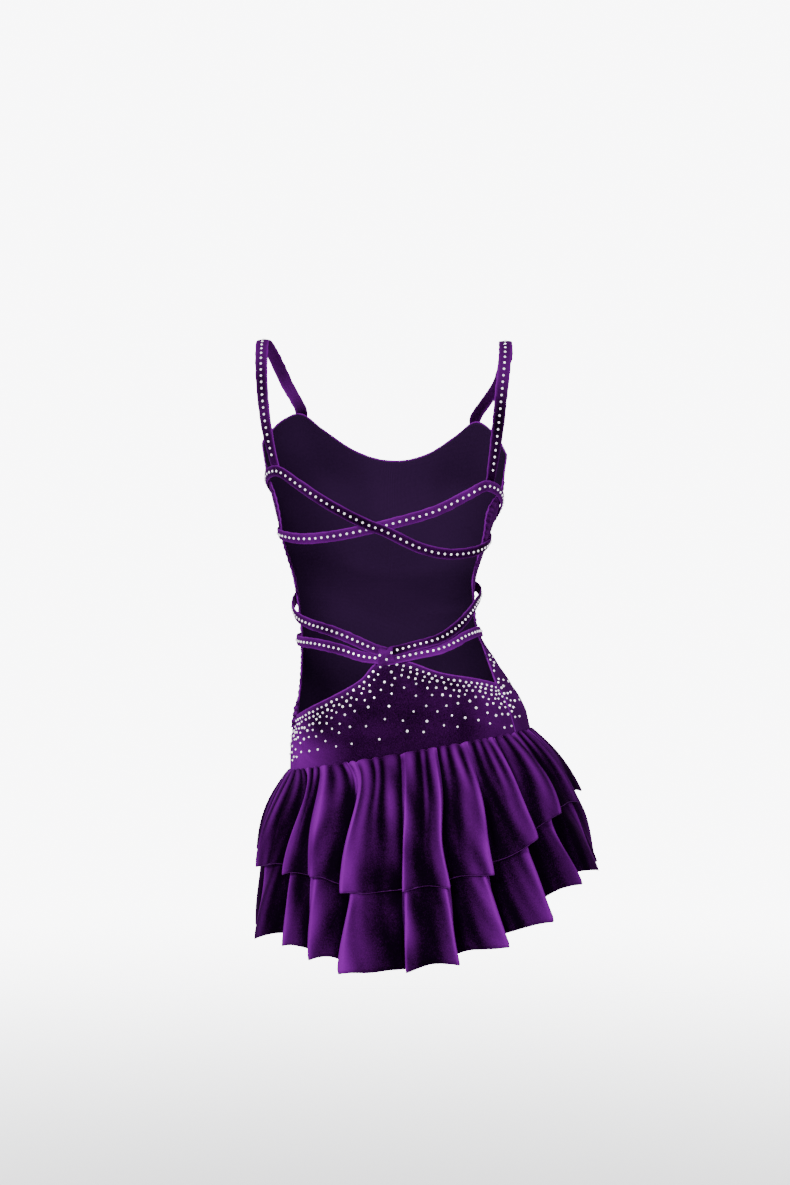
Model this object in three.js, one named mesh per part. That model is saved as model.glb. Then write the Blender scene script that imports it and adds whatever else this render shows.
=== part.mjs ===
// A latin dance dress with an open strapped back, a peaked hip yoke and two
// gathered velvet tiers, hollow and in the pose in which it is worn.
//
// Frame: millimetres, +Z up, the back of the dress towards -Y, the wearer's
// right side towards +X. The origin is midway between the tops of the two
// shoulder straps. Angles are in degrees round the figure, from the centre back
// (0) to the wearer's right side (90) and on to the centre front (180).

import * as THREE from "three";

// ---- Driving dimensions -------------------------------------------------

const CLOTH = 2; // thickness of the velvet, its turned edges included
const SEAM_GAP = 0.3; // space between two pieces that are sewn together
const SEAM_HEIGHT = -531; // the hip seam, where both tiers are sewn in
const PANEL_MARGIN = 0.15; // degrees that leave the seam gap at the side seams

const STRAP_WIDTH = 14;
const STRAP_THICKNESS = 2.2;
const STRAP_LIFT = 3.3; // a strap's underside above the figure, clear of a panel
const STRAP_LAYER = 2.7; // how much higher a strap runs where it crosses another

const RING_POWER = 2.3; // 2 is an ellipse, more is squarer
const MM_PER_DEGREE = 2; // roughly, round the figure

// The general figure that the dress is cut for: rings at their heights, each
// with its sideways shift, half width, depths and its tilt and turn in the pose.
const FIGURE = [
  { height: -60, shift: 0, half: 156, back: 84, front: 70, tilt: -2, turn: 3 },
  { height: -120, shift: -1, half: 161, back: 92, front: 88, tilt: -3.5, turn: 3 },
  { height: -160, shift: 0, half: 156, back: 95, front: 94, tilt: -4, turn: 3 },
  { height: -190, shift: 1, half: 151, back: 95, front: 97, tilt: -4.5, turn: 3 },
  { height: -230, shift: 0, half: 140, back: 91, front: 96, tilt: -4, turn: 2.5 },
  { height: -265, shift: -1, half: 130, back: 86, front: 92, tilt: -3.5, turn: 2 },
  { height: -305, shift: -1, half: 119, back: 78, front: 86, tilt: -1, turn: 1 },
  { height: -350, shift: 2, half: 114, back: 74, front: 83, tilt: 4, turn: 0 },
  { height: -390, shift: 7, half: 115, back: 80, front: 86, tilt: 6, turn: -1 },
  { height: -425, shift: 16, half: 124, back: 92, front: 90, tilt: 7.5, turn: -3 },
  { height: -460, shift: 24, half: 138, back: 103, front: 94, tilt: 8.5, turn: -4 },
  { height: -495, shift: 30, half: 151, back: 110, front: 97, tilt: 9.5, turn: -4 },
  { height: -535, shift: 35, half: 158, back: 113, front: 99, tilt: 10, turn: -4 },
];

// The two cups of the front panel: place, size and how far they stand out.
const CUP = { angle: 146, height: -186, spread: 21, tall: 44, reach: 19 };

// Front panel: its side edges, as angles from the centre back. Under the arms
// they wrap on to the back, further on the wearer's right.
const PANEL_EDGE = [
  { height: -130, right: 93, left: 93 },
  { height: -165, right: 88, left: 88 },
  { height: -184, right: 82, left: 84 },
  { height: -198, right: 71, left: 73 },
  { height: -215, right: 68, left: 69 },
  { height: -240, right: 73, left: 70 },
  { height: -256, right: 76, left: 75 },
  { height: -278, right: 78, left: 86 },
  { height: -314, right: 81, left: 94 },
  { height: -340, right: 90, left: 95 },
  { height: -362, right: 93, left: 94 },
  { height: -395, right: 88, left: 88 },
  { height: -435, right: 76, left: 76 },
  { height: -466, right: 69, left: 69 },
  { height: -540, right: 68, left: 68 },
];

// Neckline, from the centre front (0) past the strap's corner to the side.
const NECKLINE = [
  { fromFront: 0, height: -152 },
  { fromFront: 14, height: -142 },
  { fromFront: 30, height: -116 },
  { fromFront: 43, height: -97 },
  { fromFront: 56, height: -106 },
  { fromFront: 74, height: -130 },
  { fromFront: 96, height: -142 },
];
const STRAP_CORNER = 43; // degrees from the centre front
const CORNER_CLEARANCE = 4.5; // from the neckline to the middle of a strap's slanted end

// Hip yoke: its upper edge, rising to the peak at the centre back.
const YOKE_TOP = [
  { angle: -72, height: -468 },
  { angle: -48, height: -459 },
  { angle: -24, height: -446 },
  { angle: -10, height: -433 },
  { angle: -3, height: -418 },
  { angle: 4, height: -413 },
  { angle: 14, height: -420 },
  { angle: 30, height: -438 },
  { angle: 52, height: -452 },
  { angle: 72, height: -465 },
];

// Ruffle folds, shared by both tiers: the valley between two flutes, how deep
// the flute after it is high up and low down, and how far its hem dips.
const FOLDS = [
  { angle: -174, high: 0.8, low: 0.9, dip: 0.6 },
  { angle: -157, high: 1.0, low: 1.0, dip: 1.0 },
  { angle: -141, high: 0.7, low: 0.8, dip: 0.5 },
  { angle: -124, high: 1.0, low: 1.1, dip: 0.9 },
  { angle: -105, high: 0.8, low: 0.9, dip: 0.7 },
  { angle: -87, high: 1.0, low: 1.0, dip: 1.0 },
  { angle: -66, high: 0.9, low: 1.0, dip: 0.8 },
  { angle: -46, high: 0.4, low: 0.8, dip: 0.5 },
  { angle: -33, high: 0.4, low: 0.9, dip: 0.7 },
  { angle: -20, high: 1.2, low: 1.2, dip: 1.0 },
  { angle: 3, high: 1.0, low: 1.1, dip: 0.7 },
  { angle: 20, high: 1.0, low: 1.0, dip: 0.9 },
  { angle: 37, high: 0.9, low: 1.0, dip: 1.0 },
  { angle: 53, high: 0.9, low: 1.0, dip: 0.8 },
  { angle: 67, high: 0.8, low: 0.9, dip: 1.0 },
  { angle: 86, high: 1.0, low: 1.0, dip: 0.7 },
  { angle: 104, high: 0.8, low: 0.9, dip: 0.9 },
  { angle: 120, high: 0.9, low: 1.0, dip: 0.6 },
  { angle: 137, high: 0.8, low: 0.9, dip: 1.0 },
  { angle: 153, high: 1.0, low: 1.0, dip: 0.8 },
  { angle: 170, high: 0.8, low: 0.8, dip: 0.5 },
];
const GATHERS_PER_FOLD = 3; // small gathers at the seam, above each flute
const GATHER_FADE = 30; // how far below the seam the small gathers run out
const FOLD_REACH = 11; // how far a flute stands out, and its valley in
const FOLD_FULL = 110; // how far below the seam the flutes are full
const FOLD_CHANGE = [100, 190]; // depths between which the folds go from high to low
const CREST_POWER = 1.4; // below 2, crests are broader than valleys
const ROW_CROWDING = 1.35; // above 1, a tier's rows are closer near the seam
const HANG_TILT = 7.5; // the tiers hang between the hips' tilt and plumb

// The tiers: depth of cloth below the seam round the figure, and their flare.
const UPPER_TIER = {
  drops: [
    { angle: -180, drop: 90 },
    { angle: -90, drop: 85 },
    { angle: -50, drop: 112 },
    { angle: -20, drop: 144 },
    { angle: 6, drop: 158 },
    { angle: 36, drop: 147 },
    { angle: 60, drop: 107 },
    { angle: 90, drop: 82 },
    { angle: 180, drop: 90 },
  ],
  flare: 60,
  bend: 55,
  start: 2.2,
  gather: 1.5,
};
const LOWER_TIER = {
  drops: [
    { angle: -180, drop: 182 },
    { angle: -90, drop: 180 },
    { angle: -46, drop: 205 },
    { angle: -20, drop: 240 },
    { angle: 10, drop: 254 },
    { angle: 36, drop: 236 },
    { angle: 60, drop: 190 },
    { angle: 90, drop: 175 },
    { angle: 180, drop: 182 },
  ],
  flare: 70,
  bend: 95,
  start: -1.6,
  gather: 0,
};
const HEM_DIP = 6; // a flute's hem below the valleys beside it
const SIDE_SEAMS = { left: -87, right: 86 }; // where back and front tiers meet

// Straps that lie on the figure: the points that their middle line runs
// through, with the layer that they run on there.
const CROSS_OVER = [
  { angle: -97, height: -201, layer: 0 },
  { angle: -80, height: -192, layer: 0 },
  { angle: -63, height: -181, layer: 0 },
  { angle: -54, height: -181, layer: 0 },
  { angle: -41, height: -195, layer: 0 },
  { angle: -20, height: -221, layer: 0.6 },
  { angle: 1, height: -245, layer: 1 },
  { angle: 22, height: -266, layer: 0.4 },
  { angle: 40, height: -272, layer: 0 },
  { angle: 62, height: -267, layer: 0 },
  { angle: 80, height: -258, layer: 0 },
  { angle: 96, height: -250, layer: 0 },
];
const CROSS_UNDER = [
  { angle: 98, height: -205, layer: 0 },
  { angle: 82, height: -193, layer: 0 },
  { angle: 67, height: -182, layer: 0 },
  { angle: 57, height: -181, layer: 0 },
  { angle: 44, height: -195, layer: 0 },
  { angle: 27, height: -218, layer: 0 },
  { angle: 8, height: -236, layer: 0 },
  { angle: -7, height: -250, layer: 0 },
  { angle: -24, height: -259, layer: 0 },
  { angle: -44, height: -263, layer: 0 },
  { angle: -68, height: -260, layer: 0 },
  { angle: -96, height: -254, layer: 0 },
];
const WAIST_LEFT_UPPER = [
  { angle: -104, height: -330, layer: 0 },
  { angle: -84, height: -341, layer: 0 },
  { angle: -67, height: -351, layer: 0 },
  { angle: -48, height: -360, layer: 0.2 },
  { angle: -28, height: -371, layer: 1 },
  { angle: -13, height: -384, layer: 1 },
  { angle: -0.5, height: -401, layer: 1 },
];
const WAIST_LEFT_LOWER = [
  { angle: -97, height: -375, layer: 0 },
  { angle: -64, height: -380, layer: 0 },
  { angle: -42, height: -385, layer: 0 },
  { angle: -22, height: -395, layer: 0 },
  { angle: -9, height: -405, layer: 0 },
  { angle: -0.5, height: -411, layer: 0 },
];
const WAIST_RIGHT_UPPER = [
  { angle: 0.5, height: -402, layer: 1 },
  { angle: 18, height: -401, layer: 1 },
  { angle: 36, height: -396, layer: 1 },
  { angle: 53, height: -382, layer: 0.4 },
  { angle: 70, height: -365, layer: 0 },
  { angle: 88, height: -347, layer: 0 },
  { angle: 104, height: -334, layer: 0 },
];
const WAIST_RIGHT_LOWER = [
  { angle: 0.5, height: -411, layer: 0 },
  { angle: 17, height: -411, layer: 0 },
  { angle: 32, height: -410, layer: 0 },
  { angle: 46, height: -404, layer: 0 },
  { angle: 60, height: -396, layer: 0 },
  { angle: 78, height: -391, layer: 0 },
  { angle: 98, height: -391, layer: 0 },
];

// Shoulder straps: from the knot just above a cross strap, over the shoulder, to
// just above the corner of the front panel. lean turns a strap's width round Z.
const KNOT_LEFT = { angle: -58, height: -171 };
const KNOT_RIGHT = { angle: 62, height: -171 };
const SHOULDER_LEFT = [
  { x: -141, y: -67, z: -120, lean: -28 },
  { x: -149, y: -58, z: -72, lean: -20 },
  { x: -155, y: -36, z: -22, lean: -8 },
  { x: -158.5, y: 0, z: 1.9, lean: 0 },
  { x: -152, y: 30, z: -14, lean: 12 },
  { x: -138, y: 55, z: -50, lean: 26 },
];
const SHOULDER_RIGHT = [
  { x: 152, y: -54, z: -130, lean: 32 },
  { x: 158, y: -50, z: -74, lean: 22 },
  { x: 161, y: -32, z: -26, lean: 8 },
  { x: 158.5, y: 0, z: -4.1, lean: 0 },
  { x: 156, y: 32, z: -20, lean: -12 },
  { x: 142, y: 58, z: -54, lean: -26 },
];

// ---- Tables, the figure and its surface ----------------------------------

const radians = THREE.MathUtils.degToRad;
const mix = THREE.MathUtils.lerp;

// A smooth curve through a table's rows, read at any place along its key.
function readTable(table, key, column, at) {
  const rows = table[0][key] < table[table.length - 1][key] ? table : [...table].reverse();
  const last = rows.length - 1;
  const place = Math.min(Math.max(at, rows[0][key]), rows[last][key]);
  let i = 0;
  while (i < last - 1 && place > rows[i + 1][key]) i += 1;
  const slope = (k) => {
    const before = rows[Math.max(k - 1, 0)];
    const after = rows[Math.min(k + 1, last)];
    return (after[column] - before[column]) / (after[key] - before[key]);
  };
  const span = rows[i + 1][key] - rows[i][key];
  const t = (place - rows[i][key]) / span;
  const straight = (1 + 2 * t) * (1 - t) ** 2 * rows[i][column] + t * t * (3 - 2 * t) * rows[i + 1][column];
  return straight + span * (t * (1 - t) ** 2 * slope(i) + t * t * (t - 1) * slope(i + 1));
}

// An angle brought between -180 and 180.
function wrapAngle(angle) {
  return angle - 360 * Math.round(angle / 360);
}

// A power that keeps the sign of what it raises.
function signedPower(value, power) {
  return Math.sign(value) * Math.abs(value) ** power;
}

// How far a cup stands out of the figure at a place on the front.
function cupRise(angle, height) {
  const across = (Math.abs(wrapAngle(angle)) - CUP.angle) / CUP.spread;
  const along = (height - CUP.height) / CUP.tall;
  return CUP.reach * Math.exp(-across * across - along * along);
}

// Ring frames: x to the side, y to the front and z up, tilted and turned.
function ringMatrix(height) {
  const tilt = radians(readTable(FIGURE, "height", "tilt", height));
  const turn = radians(readTable(FIGURE, "height", "turn", height));
  const shift = readTable(FIGURE, "height", "shift", height);
  const matrix = new THREE.Matrix4().makeRotationY(-tilt);
  matrix.multiply(new THREE.Matrix4().makeRotationZ(turn));
  return matrix.setPosition(shift, 0, height);
}

// A point of the figure's surface.
function figurePoint(angle, height) {
  const side = Math.sin(radians(angle));
  const rear = Math.cos(radians(angle));
  const depth = readTable(FIGURE, "height", rear > 0 ? "back" : "front", height);
  const half = readTable(FIGURE, "height", "half", height);
  const x = half * signedPower(side, 2 / RING_POWER);
  const y = -depth * signedPower(rear, 2 / RING_POWER) + cupRise(angle, height);
  return new THREE.Vector3(x, y, 0).applyMatrix4(ringMatrix(height));
}

// The figure's surface with its two directions and the way out of it.
function figureFrame(angle, height) {
  const step = 0.2;
  const point = figurePoint(angle, height);
  const round = figurePoint(angle + step, height).sub(figurePoint(angle - step, height)).divideScalar(2 * step);
  const up = figurePoint(angle, height + step).sub(figurePoint(angle, height - step)).divideScalar(2 * step);
  const out = new THREE.Vector3().crossVectors(round, up).normalize();
  return { point, round, up, out };
}

// A point that lies a distance out of the figure.
function onFigure(angle, height, distance) {
  const { point, out } = figureFrame(angle, height);
  return point.addScaledVector(out, distance);
}

// ---- Walls ----------------------------------------------------------------

const velvet = { color: 0x4a1068, roughness: 0.62, metalness: 0 };
const dress = new THREE.Group();

// A closed wall between two grids of points that have the same rows, from top
// to bottom, and columns, round the figure. A ring's last column meets its first.
function addWall(name, outside, inside) {
  const rows = outside.length;
  const columns = outside[0].length;
  const size = rows * columns;
  const outer = (row, column) => row * columns + column;
  const inner = (row, column) => size + row * columns + column;
  const indices = [];
  const quad = (a, b, c, d) => indices.push(a, b, c, a, c, d);
  for (let j = 0; j < rows - 1; j += 1) {
    for (let i = 0; i < columns - 1; i += 1) {
      quad(outer(j, i), outer(j + 1, i), outer(j + 1, i + 1), outer(j, i + 1));
      quad(inner(j, i), inner(j, i + 1), inner(j + 1, i + 1), inner(j + 1, i));
    }
    quad(outer(j, 0), inner(j, 0), inner(j + 1, 0), outer(j + 1, 0));
    const end = columns - 1;
    quad(outer(j, end), outer(j + 1, end), inner(j + 1, end), inner(j, end));
  }
  for (let i = 0; i < columns - 1; i += 1) {
    const foot = rows - 1;
    quad(outer(0, i), outer(0, i + 1), inner(0, i + 1), inner(0, i));
    quad(outer(foot, i), inner(foot, i), inner(foot, i + 1), outer(foot, i + 1));
  }
  const geometry = new THREE.BufferGeometry().setFromPoints([...outside.flat(), ...inside.flat()]);
  geometry.setIndex(indices);
  geometry.computeVertexNormals();
  const mesh = new THREE.Mesh(geometry, new THREE.MeshStandardMaterial(velvet));
  mesh.name = name;
  dress.add(mesh);
}

// A grid of points worked out from its row and column fractions.
function pointGrid(rows, columns, place) {
  return Array.from({ length: rows + 1 }, (_, j) =>
    Array.from({ length: columns + 1 }, (__, i) => place(j / rows, i / columns)));
}

// ---- Panels on the figure ---------------------------------------------------

// The front panel: between its side edges, from the neckline to the hip seam.
function addFrontPanel() {
  const rows = 26;
  const columns = 26;
  const place = (down, across) => {
    let height = mix(NECKLINE[0].height, SEAM_HEIGHT, down);
    let angle = 180;
    for (let pass = 0; pass < 4; pass += 1) {
      const right = readTable(PANEL_EDGE, "height", "right", height);
      const left = 360 - readTable(PANEL_EDGE, "height", "left", height);
      angle = mix(right, left, across);
      const top = readTable(NECKLINE, "fromFront", "height", Math.abs(wrapAngle(angle - 180)));
      height = mix(top, SEAM_HEIGHT, down);
    }
    return { angle, height };
  };
  const layer = (distance) => pointGrid(rows, columns, (down, across) => {
    const { angle, height } = place(down, across);
    return onFigure(angle, height, distance);
  });
  addWall("front_panel", layer(CLOTH), layer(0));
}

// The hip yoke: from its peaked upper edge to the hip seam, between the edges
// of the front panel.
function addHipYoke() {
  const rows = 5;
  const columns = 26;
  const layer = (distance) => pointGrid(rows, columns, (down, across) => {
    let height = SEAM_HEIGHT;
    let angle = 0;
    for (let pass = 0; pass < 4; pass += 1) {
      const right = readTable(PANEL_EDGE, "height", "right", height) - PANEL_MARGIN;
      const left = PANEL_MARGIN - readTable(PANEL_EDGE, "height", "left", height);
      angle = mix(left, right, across);
      height = mix(readTable(YOKE_TOP, "angle", "height", angle), SEAM_HEIGHT, down);
    }
    return onFigure(angle, height, distance);
  });
  addWall("hip_yoke_back", layer(CLOTH), layer(0));
}

// ---- Straps -----------------------------------------------------------------

// A strap's wall from the frames along it: middle point, way across, way out.
function addStrapWall(name, frames) {
  const edges = [-1, 0, 1];
  const layer = (raise) => frames.map(({ across }) => edges.map((edge) => across(edge, raise)));
  addWall(name, layer(STRAP_THICKNESS), layer(0));
}

// A strap that lies on the figure, along a route of angles and heights. Its
// width is turned into steps of angle and height, so that it follows the figure.
function addFigureStrap(name, route, steps) {
  const curve = new THREE.CatmullRomCurve3(
    route.map(({ angle, height, layer }) => new THREE.Vector3(angle * MM_PER_DEGREE, height, layer)),
    false,
    "centripetal",
  );
  const step = 0.002;
  const frames = Array.from({ length: steps + 1 }, (_, k) => {
    const t = k / steps;
    const here = curve.getPoint(t);
    const turned = here.x / MM_PER_DEGREE;
    const before = curve.getPoint(Math.max(t - step, 0));
    const after = curve.getPoint(Math.min(t + step, 1));
    const { round, up, out } = figureFrame(turned, here.y);
    const along = round.clone().multiplyScalar((after.x - before.x) / MM_PER_DEGREE);
    along.addScaledVector(up, after.y - before.y).normalize();
    const sideways = new THREE.Vector3().crossVectors(out, along).normalize();
    const rr = round.dot(round);
    const ru = round.dot(up);
    const uu = up.dot(up);
    const scale = (0.5 * STRAP_WIDTH) / (rr * uu - ru * ru);
    const turnStep = (sideways.dot(round) * uu - sideways.dot(up) * ru) * scale;
    const riseStep = (sideways.dot(up) * rr - sideways.dot(round) * ru) * scale;
    const lift = STRAP_LIFT + STRAP_LAYER * here.z;
    const across = (edge, raise) =>
      onFigure(turned + edge * turnStep, here.y + edge * riseStep, lift + raise);
    return { across };
  });
  addStrapWall(name, frames);
}

// A row of a strap's route at a place on the figure, flat on the figure there.
function rowOnFigure(angle, height, distance) {
  const { x, y, z } = onFigure(angle, height, distance);
  const { round } = figureFrame(angle, height);
  const lean = THREE.MathUtils.radToDeg(Math.atan(round.y / round.x));
  return { x, y, z, lean };
}

// A strap through space, flat across its lean, from a knot to just above the
// corner of the front panel.
function addShoulderStrap(name, knot, route, cornerAngle, steps) {
  const corner = readTable(NECKLINE, "fromFront", "height", STRAP_CORNER) + CORNER_CLEARANCE;
  const rows = [
    rowOnFigure(knot.angle, knot.height, STRAP_LIFT),
    ...route,
    rowOnFigure(cornerAngle, corner, 0),
  ];
  const curve = new THREE.CatmullRomCurve3(rows.map(({ x, y, z }) => new THREE.Vector3(x, y, z)));
  const leans = new THREE.CatmullRomCurve3(rows.map(({ lean }) => new THREE.Vector3(lean, 0, 0)));
  const frames = Array.from({ length: steps + 1 }, (_, k) => {
    const t = k / steps;
    const here = curve.getPoint(t);
    const along = curve.getTangent(t);
    const lean = radians(leans.getPoint(t).x);
    const sideways = new THREE.Vector3(Math.cos(lean), Math.sin(lean), 0);
    sideways.addScaledVector(along, -sideways.dot(along)).normalize();
    const out = new THREE.Vector3().crossVectors(sideways, along).normalize();
    const across = (edge, raise) =>
      here.clone().addScaledVector(sideways, (-edge * STRAP_WIDTH) / 2).addScaledVector(out, raise);
    return { across };
  });
  addStrapWall(name, frames);
}

// ---- Tiers --------------------------------------------------------------------

// The flute that an angle lies in, with the fraction of the way across it.
function fluteAt(angle) {
  const place = wrapAngle(angle);
  let i = FOLDS.length - 1;
  while (i > 0 && place < FOLDS[i].angle) i -= 1;
  if (place < FOLDS[0].angle) i = FOLDS.length - 1;
  const start = FOLDS[i].angle;
  const next = FOLDS[(i + 1) % FOLDS.length].angle;
  const width = (next - start + 360) % 360;
  const fraction = ((place - start + 360) % 360) / width;
  return { fold: FOLDS[i], fraction };
}

// A tier's middle surface, a depth of cloth below the seam: the seam ring moved
// down, out along a flare that bends over, in and out through its folds, and
// through small gathers that fade below the seam.
function tierPoint(tier, angle, fall) {
  const { point, out } = figureFrame(angle, SEAM_HEIGHT);
  const hang = radians(HANG_TILT);
  const down = new THREE.Vector3(Math.sin(hang), 0, -Math.cos(hang));
  const outward = out.clone().addScaledVector(down, -out.dot(down)).normalize();
  const { fold, fraction } = fluteAt(angle);
  const total = readTable(tier.drops, "angle", "drop", wrapAngle(angle));
  const wave = Math.sin(Math.PI * fraction) ** CREST_POWER;
  const small = 0.5 - 0.5 * Math.cos(2 * Math.PI * fraction * GATHERS_PER_FOLD);
  const drop = fall * total;
  const spread = tier.flare * (1 - Math.exp(-drop / tier.bend));
  const depth = mix(fold.high, fold.low, THREE.MathUtils.smoothstep(drop, ...FOLD_CHANGE));
  const growth = Math.min(1, drop / FOLD_FULL) ** 0.8;
  const swing = FOLD_REACH * depth * growth * (2 * wave - 1);
  const gather = tier.gather * small * Math.exp(-drop / GATHER_FADE);
  const dip = HEM_DIP * fold.dip * wave * fall * fall;
  const place = point.addScaledVector(outward, tier.start + spread + swing + gather);
  return place.addScaledVector(down, SEAM_GAP + CLOTH / 2 + drop + dip);
}

// Half a tier between two side seams, as a wall round its middle surface.
function addTierHalf(name, tier, from, to, rows, perFold) {
  const inRange = FOLDS.map(({ angle }) => (angle < from ? angle + 360 : angle));
  const valleys = inRange.filter((angle) => angle > from && angle < to).sort((a, b) => a - b);
  const stops = [from + PANEL_MARGIN / 2, ...valleys, to - PANEL_MARGIN / 2];
  const angles = [stops[0]];
  for (let s = 1; s < stops.length; s += 1) {
    for (let k = 1; k <= perFold; k += 1) {
      angles.push(mix(stops[s - 1], stops[s], k / perFold));
    }
  }
  const step = 0.02;
  const layer = (distance) => pointGrid(rows, angles.length - 1, (down, across) => {
    const angle = angles[Math.round(across * (angles.length - 1))];
    const fall = down ** ROW_CROWDING;
    const point = tierPoint(tier, angle, fall);
    const round = tierPoint(tier, angle + step, fall).sub(tierPoint(tier, angle - step, fall));
    const lower = tierPoint(tier, angle, fall + step).sub(tierPoint(tier, angle, fall));
    const out = new THREE.Vector3().crossVectors(lower, round).normalize();
    return point.addScaledVector(out, distance);
  });
  addWall(name, layer(CLOTH / 2), layer(-CLOTH / 2));
}

// ---- The dress ------------------------------------------------------------------

addFrontPanel();
addHipYoke();
addShoulderStrap("shoulder_strap_left", KNOT_LEFT, SHOULDER_LEFT, 180 + STRAP_CORNER, 20);
addShoulderStrap("shoulder_strap_right", KNOT_RIGHT, SHOULDER_RIGHT, 180 - STRAP_CORNER, 20);
addFigureStrap("cross_strap_over", CROSS_OVER, 30);
addFigureStrap("cross_strap_under", CROSS_UNDER, 30);
addFigureStrap("waist_strap_left_upper", WAIST_LEFT_UPPER, 18);
addFigureStrap("waist_strap_left_lower", WAIST_LEFT_LOWER, 16);
addFigureStrap("waist_strap_right_upper", WAIST_RIGHT_UPPER, 18);
addFigureStrap("waist_strap_right_lower", WAIST_RIGHT_LOWER, 16);
addTierHalf("upper_ruffle_back", UPPER_TIER, SIDE_SEAMS.left, SIDE_SEAMS.right, 5, 12);
addTierHalf("upper_ruffle_front", UPPER_TIER, SIDE_SEAMS.right, SIDE_SEAMS.left + 360, 5, 9);
addTierHalf("lower_ruffle_back", LOWER_TIER, SIDE_SEAMS.left, SIDE_SEAMS.right, 5, 8);
addTierHalf("lower_ruffle_front", LOWER_TIER, SIDE_SEAMS.right, SIDE_SEAMS.left + 360, 5, 8);

export default dress;
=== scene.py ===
"""A latin dance dress: open strapped back, peaked hip yoke and two gathered velvet tiers.

Tables and shapes are in millimetres and become metres as a mesh is made. +Z is up, the back
of the dress is towards -Y and the wearer's right towards +X. Angles are in degrees round the
figure, from the centre back (0) to the wearer's right (90) and on to the centre front (180).
"""

import math

import bpy
import numpy as np
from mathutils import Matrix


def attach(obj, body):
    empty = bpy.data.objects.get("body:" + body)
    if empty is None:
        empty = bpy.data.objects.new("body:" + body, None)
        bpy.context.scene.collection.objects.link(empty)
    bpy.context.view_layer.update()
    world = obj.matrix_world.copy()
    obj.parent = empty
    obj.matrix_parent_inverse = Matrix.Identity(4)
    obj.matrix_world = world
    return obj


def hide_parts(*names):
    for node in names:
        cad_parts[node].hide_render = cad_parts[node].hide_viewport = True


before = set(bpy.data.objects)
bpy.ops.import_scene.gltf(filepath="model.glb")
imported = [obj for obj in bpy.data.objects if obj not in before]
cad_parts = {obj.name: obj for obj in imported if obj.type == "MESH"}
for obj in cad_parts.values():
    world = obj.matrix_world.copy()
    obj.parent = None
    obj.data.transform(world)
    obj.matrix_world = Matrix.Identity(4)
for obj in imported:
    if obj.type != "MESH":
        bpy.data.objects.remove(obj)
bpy.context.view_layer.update()  # the solids, in their own places

MM = 0.001  # metres in a millimetre


def table(names, *rows):
    """Named columns, each an array, from rows of numbers."""
    return dict(zip(names.split(), np.array(rows, float).T))


# ---- Driving dimensions ----

CLOTH = 2.0  # velvet with its backing, as in the solids
SEAM_GAP = 0.3  # between the hip seam and the tops of both tiers
SEAM_HEIGHT = -531.0
PANEL_MARGIN = 0.15  # degrees between the yoke's side edges and the panel's

STRAP_WIDTH = 14.0
SHOULDER_WIDTH = 17.0  # the shoulder straps lie a little wider than their solids
STRAP_THICKNESS = 2.2
STRAP_LIFT = 3.3  # from the figure to the straps that lie on the panel
STRAP_LAYER = 2.7  # from one strap to the strap that crosses over it
MM_PER_DEGREE = 2.0  # round the body, for gaps and lengths that need no more
RING_POWER = 2.3  # of the superellipse that each ring of the figure is

STONE_RADIUS = 1.5
STONE_SPACING = 8.7
WAIST_STONE_SPACING = 7.5
STONE_SEAT = 0.25  # how far a stone's middle stands off the cloth

FIGURE = table(
    "height shift half back front tilt turn",
    (-60, 0, 156, 84, 70, -2, 3),
    (-120, -1, 161, 92, 88, -3.5, 3),
    (-160, 0, 156, 95, 94, -4, 3),
    (-190, 1, 151, 95, 97, -4.5, 3),
    (-230, 0, 140, 91, 96, -4, 2.5),
    (-265, -1, 130, 86, 92, -3.5, 2),
    (-305, -1, 119, 78, 86, -1, 1),
    (-350, 2, 114, 74, 83, 4, 0),
    (-390, 7, 115, 80, 86, 6, -1),
    (-425, 16, 124, 92, 90, 7.5, -3),
    (-460, 24, 138, 103, 94, 8.5, -4),
    (-495, 30, 151, 110, 97, 9.5, -4),
    (-535, 35, 158, 113, 99, 10, -4),
)
CUP = {"angle": 146, "height": -186, "spread": 21, "tall": 44, "reach": 19}
PANEL_EDGE = table(
    "height right left",
    (-130, 93, 93), (-165, 88, 88), (-184, 82, 84), (-198, 71, 73), (-215, 68, 69),
    (-240, 73, 70), (-256, 76, 75), (-278, 78, 86), (-314, 81, 94), (-340, 90, 95),
    (-362, 93, 94), (-395, 88, 88), (-435, 76, 76), (-466, 69, 69), (-540, 68, 68),
)
NECKLINE = table(
    "from_front height",
    (-14, -142), (0, -152), (14, -142), (30, -116), (43, -97), (56, -106),
    (74, -131), (84, -139), (96, -156),
)
STRAP_CORNER = 43  # degrees from the centre front to the panel's corners
YOKE_TOP = table(
    "angle height",
    (-72, -468), (-48, -459), (-24, -446), (-10, -433), (-3, -418),
    (4, -413), (14, -420), (30, -438), (52, -452), (72, -465),
)

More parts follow.
